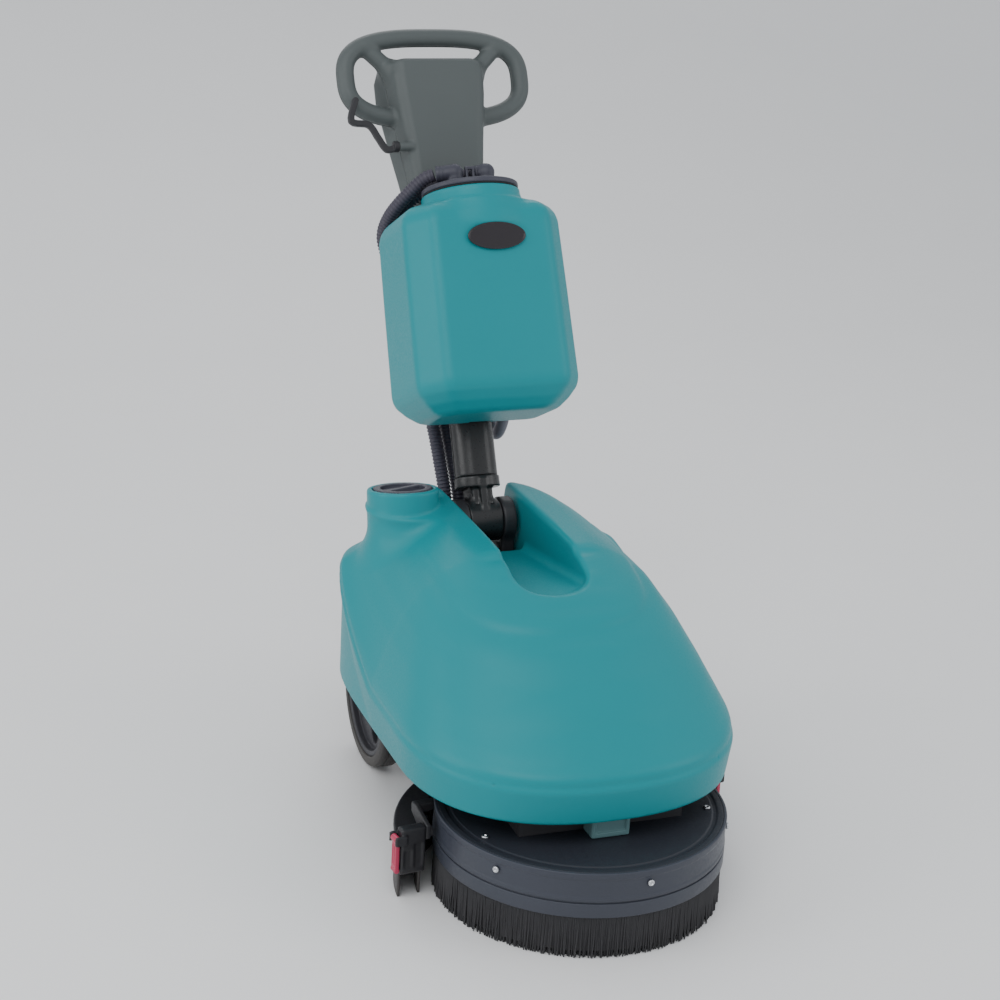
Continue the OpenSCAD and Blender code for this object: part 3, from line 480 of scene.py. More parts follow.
def spline(points, segments):
    """Catmull-Rom curve through the points."""
    points = np.array(points, float)
    out = []
    last = len(points) - 1
    for i in range(last):
        before, start, end, after = (points[j] for j in
                                     (max(i - 1, 0), i, i + 1, min(i + 2, last)))
        for t in np.arange(segments) / segments:
            out.append(0.5 * (2 * start + (end - before) * t
                              + (2 * before - 5 * start + 4 * end - after) * t * t
                              + (3 * start - before - 3 * end + after) * t ** 3))
    out.append(points[-1])
    return np.array(out)


def resample(path, spacing):
    lengths = np.r_[0, np.cumsum(np.linalg.norm(np.diff(path, axis=0), axis=1))]
    count = max(int(lengths[-1] / spacing), 2)
    along = np.linspace(0, lengths[-1], count + 1)
    return np.stack([np.interp(along, lengths, path[:, i]) for i in range(3)], -1), along


def hose(path, radius_at, spacing, sides):
    """Tube along a path; radius_at(along, length) gives its radius."""
    path, along = resample(path, spacing)
    for _ in range(3):
        path[1:-1] = 0.25 * path[:-2] + 0.5 * path[1:-1] + 0.25 * path[2:]
    tangents = np.gradient(path, axis=0)
    tangents /= np.linalg.norm(tangents, axis=1)[:, None]
    normal = np.cross(tangents[0], [0, 1, 0.3])
    normal /= np.linalg.norm(normal)
    angles = 2 * math.pi * np.arange(sides) / sides
    rings = []
    for point, tangent, radius in zip(path, tangents, radius_at(along, along[-1])):
        normal = normal - tangent * (normal @ tangent)
        normal /= np.linalg.norm(normal)
        other = np.cross(tangent, normal)
        rings.append(point + radius * (np.cos(angles)[:, None] * normal
                                       + np.sin(angles)[:, None] * other))
    return np.concatenate(rings), ring_faces(len(path), sides, flip=True)


def combine(parts):
    verts, faces, start = [], [], 0
    for part_verts, part_faces in parts:
        verts.append(np.asarray(part_verts, float))
        faces += [[i + start for i in face] for face in part_faces]
        start += len(part_verts)
    return np.concatenate(verts), faces


def screw(centre, axis, radius, height, sides=24):
    """Pan head that rises along axis, with a six-sided recess."""
    tiny = 0.0001
    # (radius, height, six-sided)
    rings = [(tiny, 0.0, False), (radius, 0, False), (radius, 0.45 * height, False),
             (0.93 * radius, 0.75 * height, False), (0.72 * radius, 0.95 * height, False),
             (0.55 * radius, height, False), (0.5 * radius, 0.96 * height, True),
             (0.46 * radius, 0.5 * height, True), (tiny, 0.42 * height, True)]
    axis = np.array(axis, float) / np.linalg.norm(axis)
    right = np.cross(axis, [0.3, 0.5, 0.81])
    right /= np.linalg.norm(right)
    up = np.cross(axis, right)
    verts = []
    for ring_radius, rise, six_sided in rings:
        for i in range(sides):
            angle = 2 * math.pi * i / sides
            reach = ring_radius
            if six_sided:
                off_flat = (angle % (math.pi / 3)) - math.pi / 6
                reach = ring_radius * math.cos(math.pi / 6) / math.cos(off_flat)
            verts.append(np.array(centre, float) + axis * rise
                         + reach * (math.cos(angle) * right + math.sin(angle) * up))
    return verts, ring_faces(len(rings), sides, flip=True)


# ---------------------------------------------------------------- shared places
def tilt(degrees):
    """Rotation that leans the z axis towards the rear."""
    cos, sin = math.cos(math.radians(degrees)), math.sin(math.radians(degrees))
    return [[1, 0, 0], [0, cos, sin], [0, -sin, cos]]


def turn(degrees):
    cos, sin = math.cos(math.radians(degrees)), math.sin(math.radians(degrees))
    return [[cos, -sin, 0], [sin, cos, 0], [0, 0, 1]]


PIVOT_Y, PIVOT_Z = 413, 357
# poses are (rotation, origin)
LEAN = (tilt(26.3), [0, PIVOT_Y, PIVOT_Z])    # z up the column, -y to its front
CAP = (tilt(10), [-127, 390, 423])            # z out of the filler
SQUEEGEE = (turn(7), [0, 0, 0])
PIN_RADIUS = 8
BORE = 8.06                                   # radius of the pivot and wheel bores


def placed(pose, x, y, z):
    return np.array(pose[0]) @ np.array([x, y, z]) + np.array(pose[1])


# ---------------------------------------------------------------- hood
# levels from rim to top: half width, y of nose, y of tail, z at nose, z at y 200,
# z at y 410, outline power of nose, of tail, share of length at the widest place
HOOD_LEVELS = np.array([
    [219, -118, 470, 150, 150, 298, 2.35, 6.0, 0.36],
    [226, -122, 476, 198, 206, 308, 2.35, 6.0, 0.36],
    [220, -116, 476, 213, 228, 316, 2.35, 6.0, 0.36],
    [211, -97, 474, 227, 252, 322, 2.35, 5.5, 0.36],
    [199, -62, 472, 251, 284, 330, 2.35, 5.0, 0.37],
    [182, -12, 470, 287, 318, 341, 2.35, 5.0, 0.38],
    [160, 38, 468, 326, 346, 355, 2.40, 4.5, 0.40],
    [148, 58, 466, 340, 358, 363, 2.50, 4.5, 0.41],
    [132, 84, 464, 354, 371, 375, 2.60, 4.5, 0.42],
    [108, 118, 462, 370, 385, 389, 2.60, 4.5, 0.42],
    [82, 150, 460, 382, 396, 398, 2.60, 4.5, 0.42],
    [50, 190, 458, 392, 401, 402, 2.60, 4.5, 0.42]], float)
# (y, z) side view of the groove for the column
GROOVE = [[40, 374], [100, 365], [330, 332], [360, 329], [360, 120], [520, 120],
          [520, 460], [40, 460]]
# shoulder step: y, and the level it runs at
STEP_Y = [80, 120, 176, 265, 338]
STEP_LEVEL = [6.35, 6.6, 7.15, 7.45, 9.2]


def blur(samples, passes):
    for _ in range(passes):
        for axis in range(3):
            layers = np.moveaxis(samples, axis, 0)
            soft = layers.copy()
            soft[1:-1] = 0.25 * layers[:-2] + 0.5 * layers[1:-1] + 0.25 * layers[2:]
            samples = np.moveaxis(soft, 0, axis)
    return samples


def normalise(samples, step):
    """Scales a field towards unit slope."""
    slope = np.gradient(samples, step)
    return samples / np.clip(np.sqrt(sum_squares(*slope)), 0.35, None)


def hood():
    axes, step = grid((-229, -126, 146), (229, 480, 431), 2.7)
    y, z = np.meshgrid(axes[1], axes[2], indexing="ij")
    level_z = np.stack([
        np.where(y < 200,
                 at_nose + (at_mid - at_nose) * (both(y, nose) - nose) / (200 - nose),
                 at_mid + (at_tail - at_mid) * np.clip((y - 205) / 205, 0, 1) ** 1.15)
        for _, nose, _, at_nose, at_mid, at_tail, *_ in HOOD_LEVELS])
    level = np.zeros(y.shape)
    for i in range(len(HOOD_LEVELS) - 1):
        share = np.clip((z - level_z[i]) / (level_z[i + 1] - level_z[i]), 0, 1)
        level = np.where(z > level_z[i], i + share, level)
    half_width, nose, tail, nose_power, tail_power, split = (
        np.interp(level, np.arange(len(HOOD_LEVELS)), HOOD_LEVELS[:, column])
        for column in (0, 1, 2, 6, 7, 8))

    # superellipse outline at each height, closed by the top level
    widest = nose + (tail - nose) * split
    ahead = y < widest
    power = np.where(ahead, nose_power, tail_power)[None]
    lengthwise = np.where(ahead, (widest - y) / (widest - nose),
                          (y - widest) / (tail - widest))[None]
    across = np.abs(axes[0])[:, None, None] / half_width[None]
    radial = (across ** power + np.clip(lengthwise, 0, None) ** power) ** (1 / power)
    skin = normalise((radial - 1) * 150.0, step)
    skin = blur(both(skin, (z - level_z[-1])[None] * 0.85), 3)

    # shallow channel all round, above the rim band
    skin = skin + 2.0 * bell((z - (level_z[1] + 3.0))[None], 4.2)
    # shallow step that runs round the nose and up the shoulders
    step_level = np.interp(y, STEP_Y, STEP_LEVEL)
    below = np.floor(step_level).astype(int)
    share = step_level - below
    step_z = (np.take_along_axis(level_z, below[None], 0)[0] * (1 - share)
              + np.take_along_axis(level_z, below[None] + 1, 0)[0] * share)
    fade = np.clip((300 - y) / 60, 0, 1)
    skin = skin + (fade * (2.4 * bell(z - step_z, 6.0) - 0.8 * bell(z - step_z + 16, 9.0)))[None]

    pts = np.stack(np.meshgrid(*axes, indexing="ij"), -1)
    full_x, full_y, full_z = xyz(pts)
    groove = np.where(full_y < 155, hypot(full_x, full_y - 155), np.abs(full_x)) - 50
    groove = overlap(groove, polygon(y, z, GROOVE)[None], 12)
    body = overlap(skin, 150.0 - full_z, 3)
    neck = rod(pts, placed(CAP, 0, 0, -105), placed(CAP, 0, 0, 0), 50, 3.0)
    body = merge(cut(body, groove, 9), neck, 24)
    # open underside with a 5 mm wall
    hollow = both(skin + 5, both(-(groove - 5), full_z - 262))
    body = cut(body, hollow, 1.5)
    # stepped bore of the filler
    bore_top = placed(CAP, 0, 0, 12)
    body = cut(body, rod(pts, placed(CAP, 0, 0, -8), bore_top, 42.2, 1.0), 1.5)
    body = cut(body, rod(pts, placed(CAP, 0, 0, -26), bore_top, 37.3, 0.6), 0.8)
    body = both(body, -rod(pts, placed(CAP, 0, 0, -63.5), bore_top, 34.7, 0.6))
    sampled_piece("solution_tank", body, axes, step)


hood()

# ---------------------------------------------------------------- waste tank
NECK_Y = -100      # axis of the tank neck and lid
# z, inset of the outline
TANK_INSETS = np.array([
    [135, 36], [138, 29], [150, 15], [164, 4], [172, 1], [180, 0], [300, 2], [400, 4],
    [411, 7], [420, 13], [426, 22], [429, 32], [431.5, 60], [441, 80], [448, 80]])
# z, radius of the neck
NECK_RADII = np.array([
    [380, 74], [400, 75], [411, 75], [420, 74.2], [426, 73.2], [431.5, 71.6],
    [441, 69.4], [448, 69]])
TANK_OUTLINE = [[119, 2], [119, -136], [88, -176], [-88, -176], [-119, -136], [-119, 2]]
TANK_CORNER = 22


def waste_tank():
    axes, step = grid((-121, -179, 133), (121, 5, 449), 2.2)
    x, y, z = np.meshgrid(*axes, indexing="ij")
    depth = either(np.interp(z, *TANK_INSETS.T), 70)
    scale_x, scale_y = (119 - depth) / 119, both((89 - depth) / 89, 0.2)
    outline = inset(TANK_OUTLINE, TANK_CORNER)
    shell = (polygon(x / scale_x, -87 + (y + 87) / scale_y, outline) - TANK_CORNER) * scale_y
    shell = overlap(shell, z - 431.5, 2)
    shell = overlap(shell, 135.2 - z, 4)
    shell = blur(normalise(shell, step), 2)
    radial = hypot(x, y - NECK_Y)
    neck = overlap(radial - np.interp(z, *NECK_RADII.T), within(z, 392, 448), 2.0)
    # channel for the column down the back, with a slot for the bracket's tab
    half = np.abs(x)
    channel = overlap(half - 36, -30 - y, 6)
    slot = overlap(both(half - 16.2, -45.5 - y), z - 172.2, 1)
    hollow = overlap(both(shell + 4.5, -(channel - 5)), 140 - z, 3)
    hollow = both(hollow, -overlap(half - 21, both(-50 - y, z - 177), 2))
    hollow = both(hollow, z - 426)
    mouth = both(radial - 60.2, 420 - z)
    body = cut(cut(merge(shell, neck, 12), channel, 3), slot, 1)
    sampled_piece("recovery_tank", both(body, -merge(hollow, mouth, 2)), axes, step, LEAN)


def badge(pts):
    """Elliptical plate with a raised border on the front of the tank."""
    x, y, z = xyz(pts)
    x, z = x - 4, z - 372
    plate = overlap((hypot(x / 42, z / 19) - 1) * 22, within(y, -177.7, -175.6), 0.6)
    return cut(plate, both((hypot(x / 39.5, z / 16.8) - 1) * 22, y + 177.2), 0.3)


waste_tank()
field_piece("tank_badge", badge, (-39, -178, 352), (47, -175.4, 392), 0.55, LEAN)

# ---------------------------------------------------------------- handle
# housing: z, half width at the back, half width at the front, depth behind, depth ahead
HOUSING = np.array([
    [455, 56, 49, 34, 28], [500, 64, 52, 35, 29.5], [545, 73, 56, 35, 31],
    [615, 86, 63, 35, 34], [645, 86, 65, 34, 34], [662, 80, 64, 31, 32],
    [669, 72, 58, 26, 28]], float)


def grip_centreline():
    """Superellipse in x and z."""
    angles = np.linspace(0, 2 * math.pi, 97)[:-1]
    cos, sin = np.cos(angles), np.sin(angles)
    return np.stack([133 * np.sign(cos) * np.abs(cos) ** (2 / 2.9),
                     645 + 61 * np.sign(sin) * np.abs(sin) ** (2 / 2.9)], -1)


GRIP = grip_centreline()


def handle(pts):
    x, y, z = xyz(pts)
    back, front, behind, ahead = (np.interp(z, HOUSING[:, 0], HOUSING[:, i])
                                  for i in (1, 2, 3, 4))
    depth = behind + ahead
    flank = np.abs(x) - (front + (back - front) * (y + ahead) / depth)
    flank = flank * (depth / hypot(depth, back - front))
    housing = overlap(flank, within(y, -ahead, behind), 12)
    housing = overlap(housing, within(z, 455.3, 668.5), 5)
    grip = hypot(np.abs(polygon(x, z, GRIP)), y * 0.96) - 13
    arms = capsule(mirrored(pts), (56, 0, 648), (99, 0, 691), 12)
    lever_boss = rod(pts, (-71.8, -24, 539), (-50, -24, 539), 7, 1.0)
    body = merge(merge(housing, arms, 14), grip, 5)
    body = merge(body, lever_boss, 3)
    # recess for the panel
    return cut(body, box(pts, (-50.6, 35, 587.4), (50.6, 50, 640.6), 1), 0.5)


def handle_half(side):
    """One hollow half of the handle; side is 1 for the front and -1 for the rear."""
    def half(pts):
        body = overlap(handle(pts), side * pts[..., 1] + 0.35, 1.4)
        return cut(body, box(pts, (-42, -25, 470), (42, 29, 640), 2), 0.5)
    return half


field_piece("handle_shell_front", handle_half(1), (-147, -36, 454), (147, 0, 721), 2.0, LEAN)
field_piece("handle_shell_rear", handle_half(-1), (-147, 0, 454), (147, 37, 721), 2.0, LEAN)

COLUMN_FLAT = 6       # half length of the flat sides of the column's section
COLUMN_RADIUS = 25
COLUMN_BORE = 22


def stadium(x, y, radius):
    return hypot(both(np.abs(x) - COLUMN_FLAT, 0), y) - radius


def column_tube():
    angles = np.linspace(0, 2 * math.pi, 73)[:-1]
    cos, sin = np.cos(angles), np.sin(angles)
    spread = COLUMN_FLAT * np.sign(cos) * (np.abs(cos) > 1e-6)
    outer, inner, edge = COLUMN_RADIUS, COLUMN_BORE, COLUMN_RADIUS - 0.8
    rings = [(inner, 64), (edge, 62.3), (outer, 63.4)]
    rings += [(outer, z) for z in np.linspace(66, 592, 40)]
    rings += [(outer, 599), (edge, 600.1), (inner, 600)]
    rings += [(inner, z) for z in np.linspace(590, 70, 12)]
    verts = np.concatenate([
        np.stack([radius * cos + spread, radius * sin, np.full(angles.shape, z)], -1)
        for radius, z in rings])
    return verts, ring_faces(len(rings), len(angles), closed=True, flip=True)


piece("handle_column", column_tube(), LEAN)


def knuckle(pts):
    """Pivot barrel with a neck and a plug that enters the column."""
    x, y, z = xyz(pts)
    body = rod(pts, (-24.6, 0, 0), (24.6, 0, 0), 30, 2.5)
    body = merge(body, box(pts, (-16, -20, 5), (16, 20, 52), 4), 8)
    body = merge(body, box(pts, (-5, -27, 12), (5, 0, 57), 2), 3)
    body = merge(body, overlap(stadium(x, y, 27), within(z, 46, 62), 2), 5)
    body = either(body, both(stadium(x, y, COLUMN_BORE - 0.2), within(z, 50, 90)))
    body = cut(body, rod(pts, (-40, 0, 0), (40, 0, 0), BORE, 0.1), 0.6)
    for centre in (-10.5, 10.5):     # reliefs beside the middle web
        body = cut(body, box(pts, (centre - 2.5, -32, 20), (centre + 2.5, -21.6, 42), 1.5), 1)
    return body


def tank_bracket(pts):
    """Collar round the column with a tab to the front."""
    x, y, z = xyz(pts)
    body = overlap(stadium(x, y, 28.2), within(z, 150, 176), 1.5)
    body = merge(body, box(pts, (-15, -44, 158), (15, -20, 172), 1.5), 2)
    return cut(body, stadium(x, y, COLUMN_RADIUS + 0.15), 0.8)


field_piece("column_knuckle", knuckle, (-34, -31, -31), (34, 31, 91), 1.3, LEAN)
field_piece("tank_bracket", tank_bracket, (-35, -45, 149), (35, 29, 177), 1.1, LEAN)

CONTROL_Z = 612       # height of the buttons and the key
CONTROL_PITCH = 28


def control_panel(pts):
    x, y, z = xyz(pts)
    body = box(pts, (-50, 35.3, 588), (50, 39.3, 640), 0.9)
    for centre in (-CONTROL_PITCH, 0, CONTROL_PITCH):
        body = cut(body, rod(pts, (centre, 30, CONTROL_Z), (centre, 50, CONTROL_Z), 9.3, 0.1),
                   0.4)
        radial = hypot(x - centre, z - CONTROL_Z)
        ring = overlap(radial - 11.4, within(y, 38.6, 39.9), 0.4)
        body = either(body, cut(ring, radial - 9.5, 0.3))
    body = cut(body, box(pts, (-40, 38.3, 626), (40, 45, 634), 0.5), 0.4)
    return both(body, y - 39.95)


def button(centre):
    """Round button with a dished face."""
    def field(pts):
        x, y, z = xyz(pts)
        body = overlap(hypot(x - centre, z - CONTROL_Z) - 9, within(y, 37.6, 43.6), 1.1)
        return cut(body, ball(pts, (centre, 68.6, CONTROL_Z), 25.7), 0.6)
    return field


def key(pts):
    x, y, z = xyz(pts)
    body = rod(pts, (0, 36.5, CONTROL_Z), (0, 41.5, CONTROL_Z), 9, 0.6)
    body = either(body, box(pts, (-1.5, 41, 606), (1.5, 60, 618), 0.5))
    bow = overlap(hypot(y - 62, z - CONTROL_Z) - 11, np.abs(x) - 1.5, 0.8)
    return either(body, cut(bow, hypot(y - 66, z - CONTROL_Z) - 3, 0.5))


field_piece("control_panel", control_panel, (-51, 34.8, 587), (51, 40.4, 641), 0.7, LEAN)
for name, centre in (("brush_button", -CONTROL_PITCH), ("vacuum_button", CONTROL_PITCH)):
    field_piece(name, button(centre), (centre - 10, 37, CONTROL_Z - 10),
                (centre + 10, 44, CONTROL_Z + 10), 0.5, LEAN)
field_piece("key_switch", key, (-10, 36, 600), (10, 74, 624), 0.6, LEAN)

# (x, z) points along the lever's centreline
LEVER_PATH = spline([[-76, 538], [-90, 535], [-101, 552], [-113, 571], [-138, 577],
                     [-129, 607]], 5)


def lever(pts):
    x, y, z = xyz(pts)
    strip = np.full(x.shape, 1e9)
    for start, end in zip(LEVER_PATH[:-1], LEVER_PATH[1:]):
        edge = end - start
        share = np.clip(((x - start[0]) * edge[0] + (z - start[1]) * edge[1])
                        / (edge @ edge), 0, 1)
        strip = either(strip, hypot(x - start[0] - edge[0] * share,
                                    z - start[1] - edge[1] * share) - 4.5)
    body = overlap(strip, np.abs(y + 24) - 4, 1.6)
    body = merge(body, rod(pts, (-80, -24, 539), (-72, -24, 539), 8, 1.2), 1.5)
    return either(body, rod(pts, (-73, -24, 539), (-63, -24, 539), 4, 0.4))


field_piece("release_lever", lever, (-144, -33, 529), (-62, -15, 613), 1.0, LEAN)

# ---------------------------------------------------------------- lid and elbows
SUCTION_X, VACUUM_X = -19, 28      # the two ports in the lid
PORT_Y = -98
ELBOW_Z = 481


def tank_lid(pts):
    x, y, z = xyz(pts)
    radial = hypot(x, y + 100)
    body = overlap(radial - 68, within(z, 450.4, 458), 2.2)
    body = cut(body, overlap(within(radial, 54, 61), 456.9 - z, 0.6), 0.8)
    body = merge(body, both(within(radial, 55, 59.6), within(z, 441, 452)), 0.6)
    for port in (SUCTION_X, VACUUM_X):
        body = merge(body, rod(pts, (port, PORT_Y, 452), (port, PORT_Y, 463), 14, 0.8), 2)
    # handle bar between the ports
    bar = either(box(pts, (-4.5, -104, 455), (-1, -99.5, 488), 0.8),
                 box(pts, (5.5, -104, 455), (9, -99.5, 488), 0.8))
    bar = merge(bar, box(pts, (-4.5, -104, 483.5), (9, -99.5, 488), 0.8), 1)
    body = merge(body, bar, 1.2)
    for port in (SUCTION_X, VACUUM_X):
        body = cut(body, rod(pts, (port, PORT_Y, 430), (port, PORT_Y, 470), 8.5, 0.2), 0.5)
    return body


def elbow(port, direction, length):
    direction = np.array(direction, float)
    bend = np.array([port, PORT_Y, float(ELBOW_Z)])

    def field(pts):
        body = rod(pts, (port, PORT_Y, 463.3), bend, 11, 0.8)
        body = merge(body, ball(pts, bend, 12), 1.5)
        body = merge(body, rod(pts, bend, bend + direction * length, 11.5, 0.8), 1.5)
        # grooves round the cuff and the foot
        along = (pts - bend) @ direction
        for groove in (length - 11, length - 6):
            body = body + 0.5 * bell(along - groove, 0.9) * (along > 6)
        body = body + 0.5 * bell(pts[..., 2] - 470.5, 0.8) * (along < 6)
        body = cut(body, rod(pts, bend + direction * 2, bend + direction * (length + 8), 8, 0.4),
                   0.5)
        return cut(body, rod(pts, (port, PORT_Y, 455), (port, PORT_Y, 479), 8, 0.4), 0.5)
    return field


field_piece("tank_lid", tank_lid, (-68.5, -168.5, 440.5), (68.5, -31.5, 488.5), 1.3, LEAN)
angle = math.radians(22)
field_piece("suction_elbow", elbow(SUCTION_X, (-math.cos(angle), math.sin(angle), 0), 26),
            (-56, -111, 462), (-6, -74, 494), 0.9, LEAN)
angle = math.radians(50)
field_piece("vacuum_elbow", elbow(VACUUM_X, (-math.sin(angle), math.cos(angle), 0), 20),
            (3, -111, 462), (41, -75, 494), 0.9, LEAN)
piece("lid_gasket", revolve(fillet(rect(60.5, 448.25, 67, 450.15), 0.6), 128,
                            centre=(0, NECK_Y, 0)), LEAN)

# ---------------------------------------------------------------- hoses
# (x, distance ahead of the column axis, z) in the lean pose
RECOVERY_LEAN = [
    [-46, 87, 480.6], [-58, 80, 477], [-72, 64, 466], [-86, 42, 452], [-95, 16, 438],
    [-98, -8, 420], [-92, -22, 396], [-78, -24, 330], [-60, -28, 230], [-46, -34, 150],
    [-40, -36, 90], [-37, -38, 40]]
VACUUM_LEAN = [
    [10.8, 83.6, 481], [2, 76, 480.5], [-18, 64, 478], [-40, 54, 472], [-60, 40, 462],
    [-74, 20, 450], [-76, -8, 434], [-72, -30, 415], [-66, -44, 396], [-54, -46, 330],
    [-36, -44, 230], [-24, -42, 150], [-18, -42, 90], [-15, -42, 40]]
# (x, y, z) where each hose drops into the rear cover, upright
RECOVERY_DROP = [[-38, 463, 340.0], [-38, 463, 296.0]]
VACUUM_DROP = [[-15, 464, 340.0], [-15, 463, 296.0]]
# (x, y, z): the drain in the lean pose, the feed upright
DRAIN = [[62, 2.4, 168], [62, 9, 167.6], [61, 16, 162], [59, 20, 150], [56, 23, 139],
         [53, 30, 130], [51.5, 37, 127.5], [51, 44, 130], [51, 50, 139], [51.5, 52, 152],
         [54, 50, 180], [58, 40, 240], [60, 32, 300]]
FEED = [[-74, 65.5, 168], [-74, 50, 166], [-74, 30, 152], [-74, 14, 136], [-73.2, 8, 125],
        [-73, 7, 121.4]]


def corrugated(along, length):
    wave = (0.5 + 0.5 * np.cos(2 * math.pi * along / 5.2)) ** 0.7
    return np.where((along < 3) | (along > length - 3), 9.0, 8.5 + 1.45 * wave)


def grooved(along, _length):
    return 8.9 - 0.25 * (np.cos(2 * math.pi * along / 2.4) > 0.2) * (along < 150)


def flexing_hose(node, lean_points, drop):
    """Hose that runs between the chassis and the handle, as one fixed mesh."""
    path = [placed(LEAN, x, -ahead, z) for x, ahead, z in lean_points] + drop
    obj = new_object(node, hose(spline(path, 12), corrugated, 0.87, 26), None,
                     MATERIALS["hose_purple_grey"])
    rise = placed(LEAN, 0, 0, 30) - placed(LEAN, 0, 0, 0)
    base = placed(LEAN, 0, 40, 0)
    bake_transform(obj)
    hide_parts(node)


flexing_hose("recovery_hose", RECOVERY_LEAN, RECOVERY_DROP)
flexing_hose("vacuum_hose", VACUUM_LEAN, VACUUM_DROP)
piece("drain_hose", hose(spline(DRAIN, 10), grooved, 1.2, 26), LEAN)
piece("solution_feed_hose", hose(spline(FEED, 8), lambda along, _: np.full(along.shape, 5.3),
                                 1.5, 20))

# ---------------------------------------------------------------- deck
DECK_RADIUS = 190
DECK_TOP = 118
BRISTLE_TOP = 56.7
# (radius, z) profiles, each with its corner radii
BAND = [(186, 79), (190, 79), (190, 84), (189.1, 86.5), (189.1, 108), (190, 110.5),
        (190, 118), (186, 118)]
BAND_RADII = [0.6, 1.2, 1, 1, 1, 1, 1.5, 0.6]
COVER = [(13, 112), (185.8, 112), (185.8, 118), (178, 118), (176, 116.9), (172, 116.9),
         (170, 118), (70, 118), (68, 117.4), (64, 117.4), (62, 118), (13, 118)]
COVER_RADII = [0.5, 1, 1.2, 0.8, 0.6, 0.6, 0.8, 0.6, 0.5, 0.5, 0.6, 0.5]
SKIRT = [(176, 57), (190, 57), (190, 76.3), (187.6, 76.6), (187.5, 78.7), (176, 78.7)]
SKIRT_RADII = [0.5, 1.6, 1.4, 0.3, 0.7, 0.5]

piece("deck_band", revolve(fillet(BAND, BAND_RADII), 256))
# the cover takes the darker deck finish instead of its slot: painted shade from the hood above
# it
piece("deck_cover", revolve(fillet(COVER, COVER_RADII), 256), material=MATERIALS["deck_dark"])
piece("skirt_ring", revolve(fillet(SKIRT, SKIRT_RADII), 256))


def tufts(circles, root_z, tip_z, root_radius, tip_radius):
    """Bristles on circles of (radius, count), each bent a little at random."""
    sides, rings = 5, 3
    verts, faces = [], []
    one_tuft = ring_faces(rings, sides)
    for circle, count in circles:
        for i in range(count):
            angle = 2 * math.pi * (i + 0.5 * rng.random()) / count
            splay, twist = rng.normal(0, 1.1), rng.normal(0, 0.05)
            tip = tip_z + rng.random() * 1.2
            faces += [[k + len(verts) for k in face] for face in one_tuft]
            for j in range(rings):
                share = j / (rings - 1)
                radius = root_radius + (tip_radius - root_radius) * share
                bent = angle + twist * share * share * 4 / circle * 8
                reach = circle + splay * share * share
                z = root_z + (tip - root_z) * share
                for k in range(sides):
                    turned = 2 * math.pi * k / sides + angle
                    verts.append((reach * math.cos(bent) + radius * math.cos(turned),
                                  reach * math.sin(bent) + radius * math.sin(turned), z))
    return verts, faces


backing = revolve([(180.5, 9), (185.2, 9), (186.2, BRISTLE_TOP), (179.5, BRISTLE_TOP)], 160)
skirt_tufts = tufts([(186.3, 560), (183.2, 480), (180.2, 460)], BRISTLE_TOP, 0.15, 1.25, 0.85)
piece("skirt_bristles", combine([backing, skirt_tufts]), smooth=False)
brush_circles = [96 + 9.7 * i for i in range(8)]
brush_tufts = tufts([(radius, int(radius * 0.95)) for radius in brush_circles],
                    49, 0.2, 2.6, 2.1)
piece("brush_bristles", combine([revolve(rect(94, 48, 164, 57.7), 96), brush_tufts]),
      smooth=False)


def deck_screws():
    parts = []
    for i in range(6):     # round the band
        angle = math.radians(-85 + 60 * i)
        out = np.array([math.cos(angle), math.sin(angle), 0])
        mid_band = np.array([0, 0, 101])
        parts.append(screw((DECK_RADIUS + 0.1) * out + mid_band, out, 4.4, 3.3))
        verts, faces = revolve(rect(0.01, -8, 2.2, 0.2), 16)
        basis = np.array([[-out[1], out[0], 0], [0, 0, 1], out])
        parts.append((verts @ basis + DECK_RADIUS * out + mid_band, faces))
    for degrees in (-21, -159, 21, 159):     # on the cover
        angle = math.radians(degrees)
        x, y = 164 * math.cos(angle), 164 * math.sin(angle)
        parts.append(screw((x, y, DECK_TOP + 0.1), (0, 0, 1), 4.6, 3.0))
        parts.append(revolve(rect(0.01, 109, 2.2, DECK_TOP + 0.2), 16, centre=(x, y, 0)))
    return combine(parts)


piece("deck_screws", deck_screws())

# ---------------------------------------------------------------- squeegee
MOUNT_Y, MOUNT_Z = 45.5, 92      # axis of the pins that carry the squeegee
LATCH_X, LATCH_Z = 242, 91       # axis the latches turn on


def squeegee_body(pts):
    """Curved channel with a flange and an end block at either side."""
    x, y, z = xyz(pts)
    radial = hypot(x, y)
    end_angle = math.radians(11.8)
    ends = np.abs(x) * math.sin(end_angle) - y * math.cos(end_angle)

    def arc(low_r, high_r, low_z, high_z, r):
        return overlap(overlap(within(radial, low_r, high_r), within(z, low_z, high_z), r),
                       ends, r)

    body = merge(arc(211, 235, 44, 80, 1.6), arc(205, 240.5, 76, 82, 1.2), 1.5)
    body = merge(body, body, 1)      # swells the arc by 0.3 mm
    half = mirrored(pts)
    body = merge(body, box(half, (202.6, 36.5, 40), (237, 51.2, 104), 2.5), 1.5)
    # pockets in the front face of each end block
    body = cut(body, box(half, (207, 33.5, 50), (218.5, 37.7, 82), 1), 0.6)
    body = cut(body, box(half, (221.5, 33.5, 50), (232.5, 37.7, 74), 1), 0.6)
    ears = either(box(half, (229.5, 32.5, 84), (246.5, 36.8, 97), 1.2),
                  box(half, (229.5, 50.9, 84), (246.5, 55.1, 97), 1.2))
    body = merge(body, ears, 1.2)
    body = either(body, rod(half, (LATCH_X, 33.5, LATCH_Z), (LATCH_X, 53.5, LATCH_Z), 2, 0.2))
    return cut(body, rod(half, (200, MOUNT_Y, MOUNT_Z), (228, MOUNT_Y, MOUNT_Z), 4.1, 0.1), 0.4)


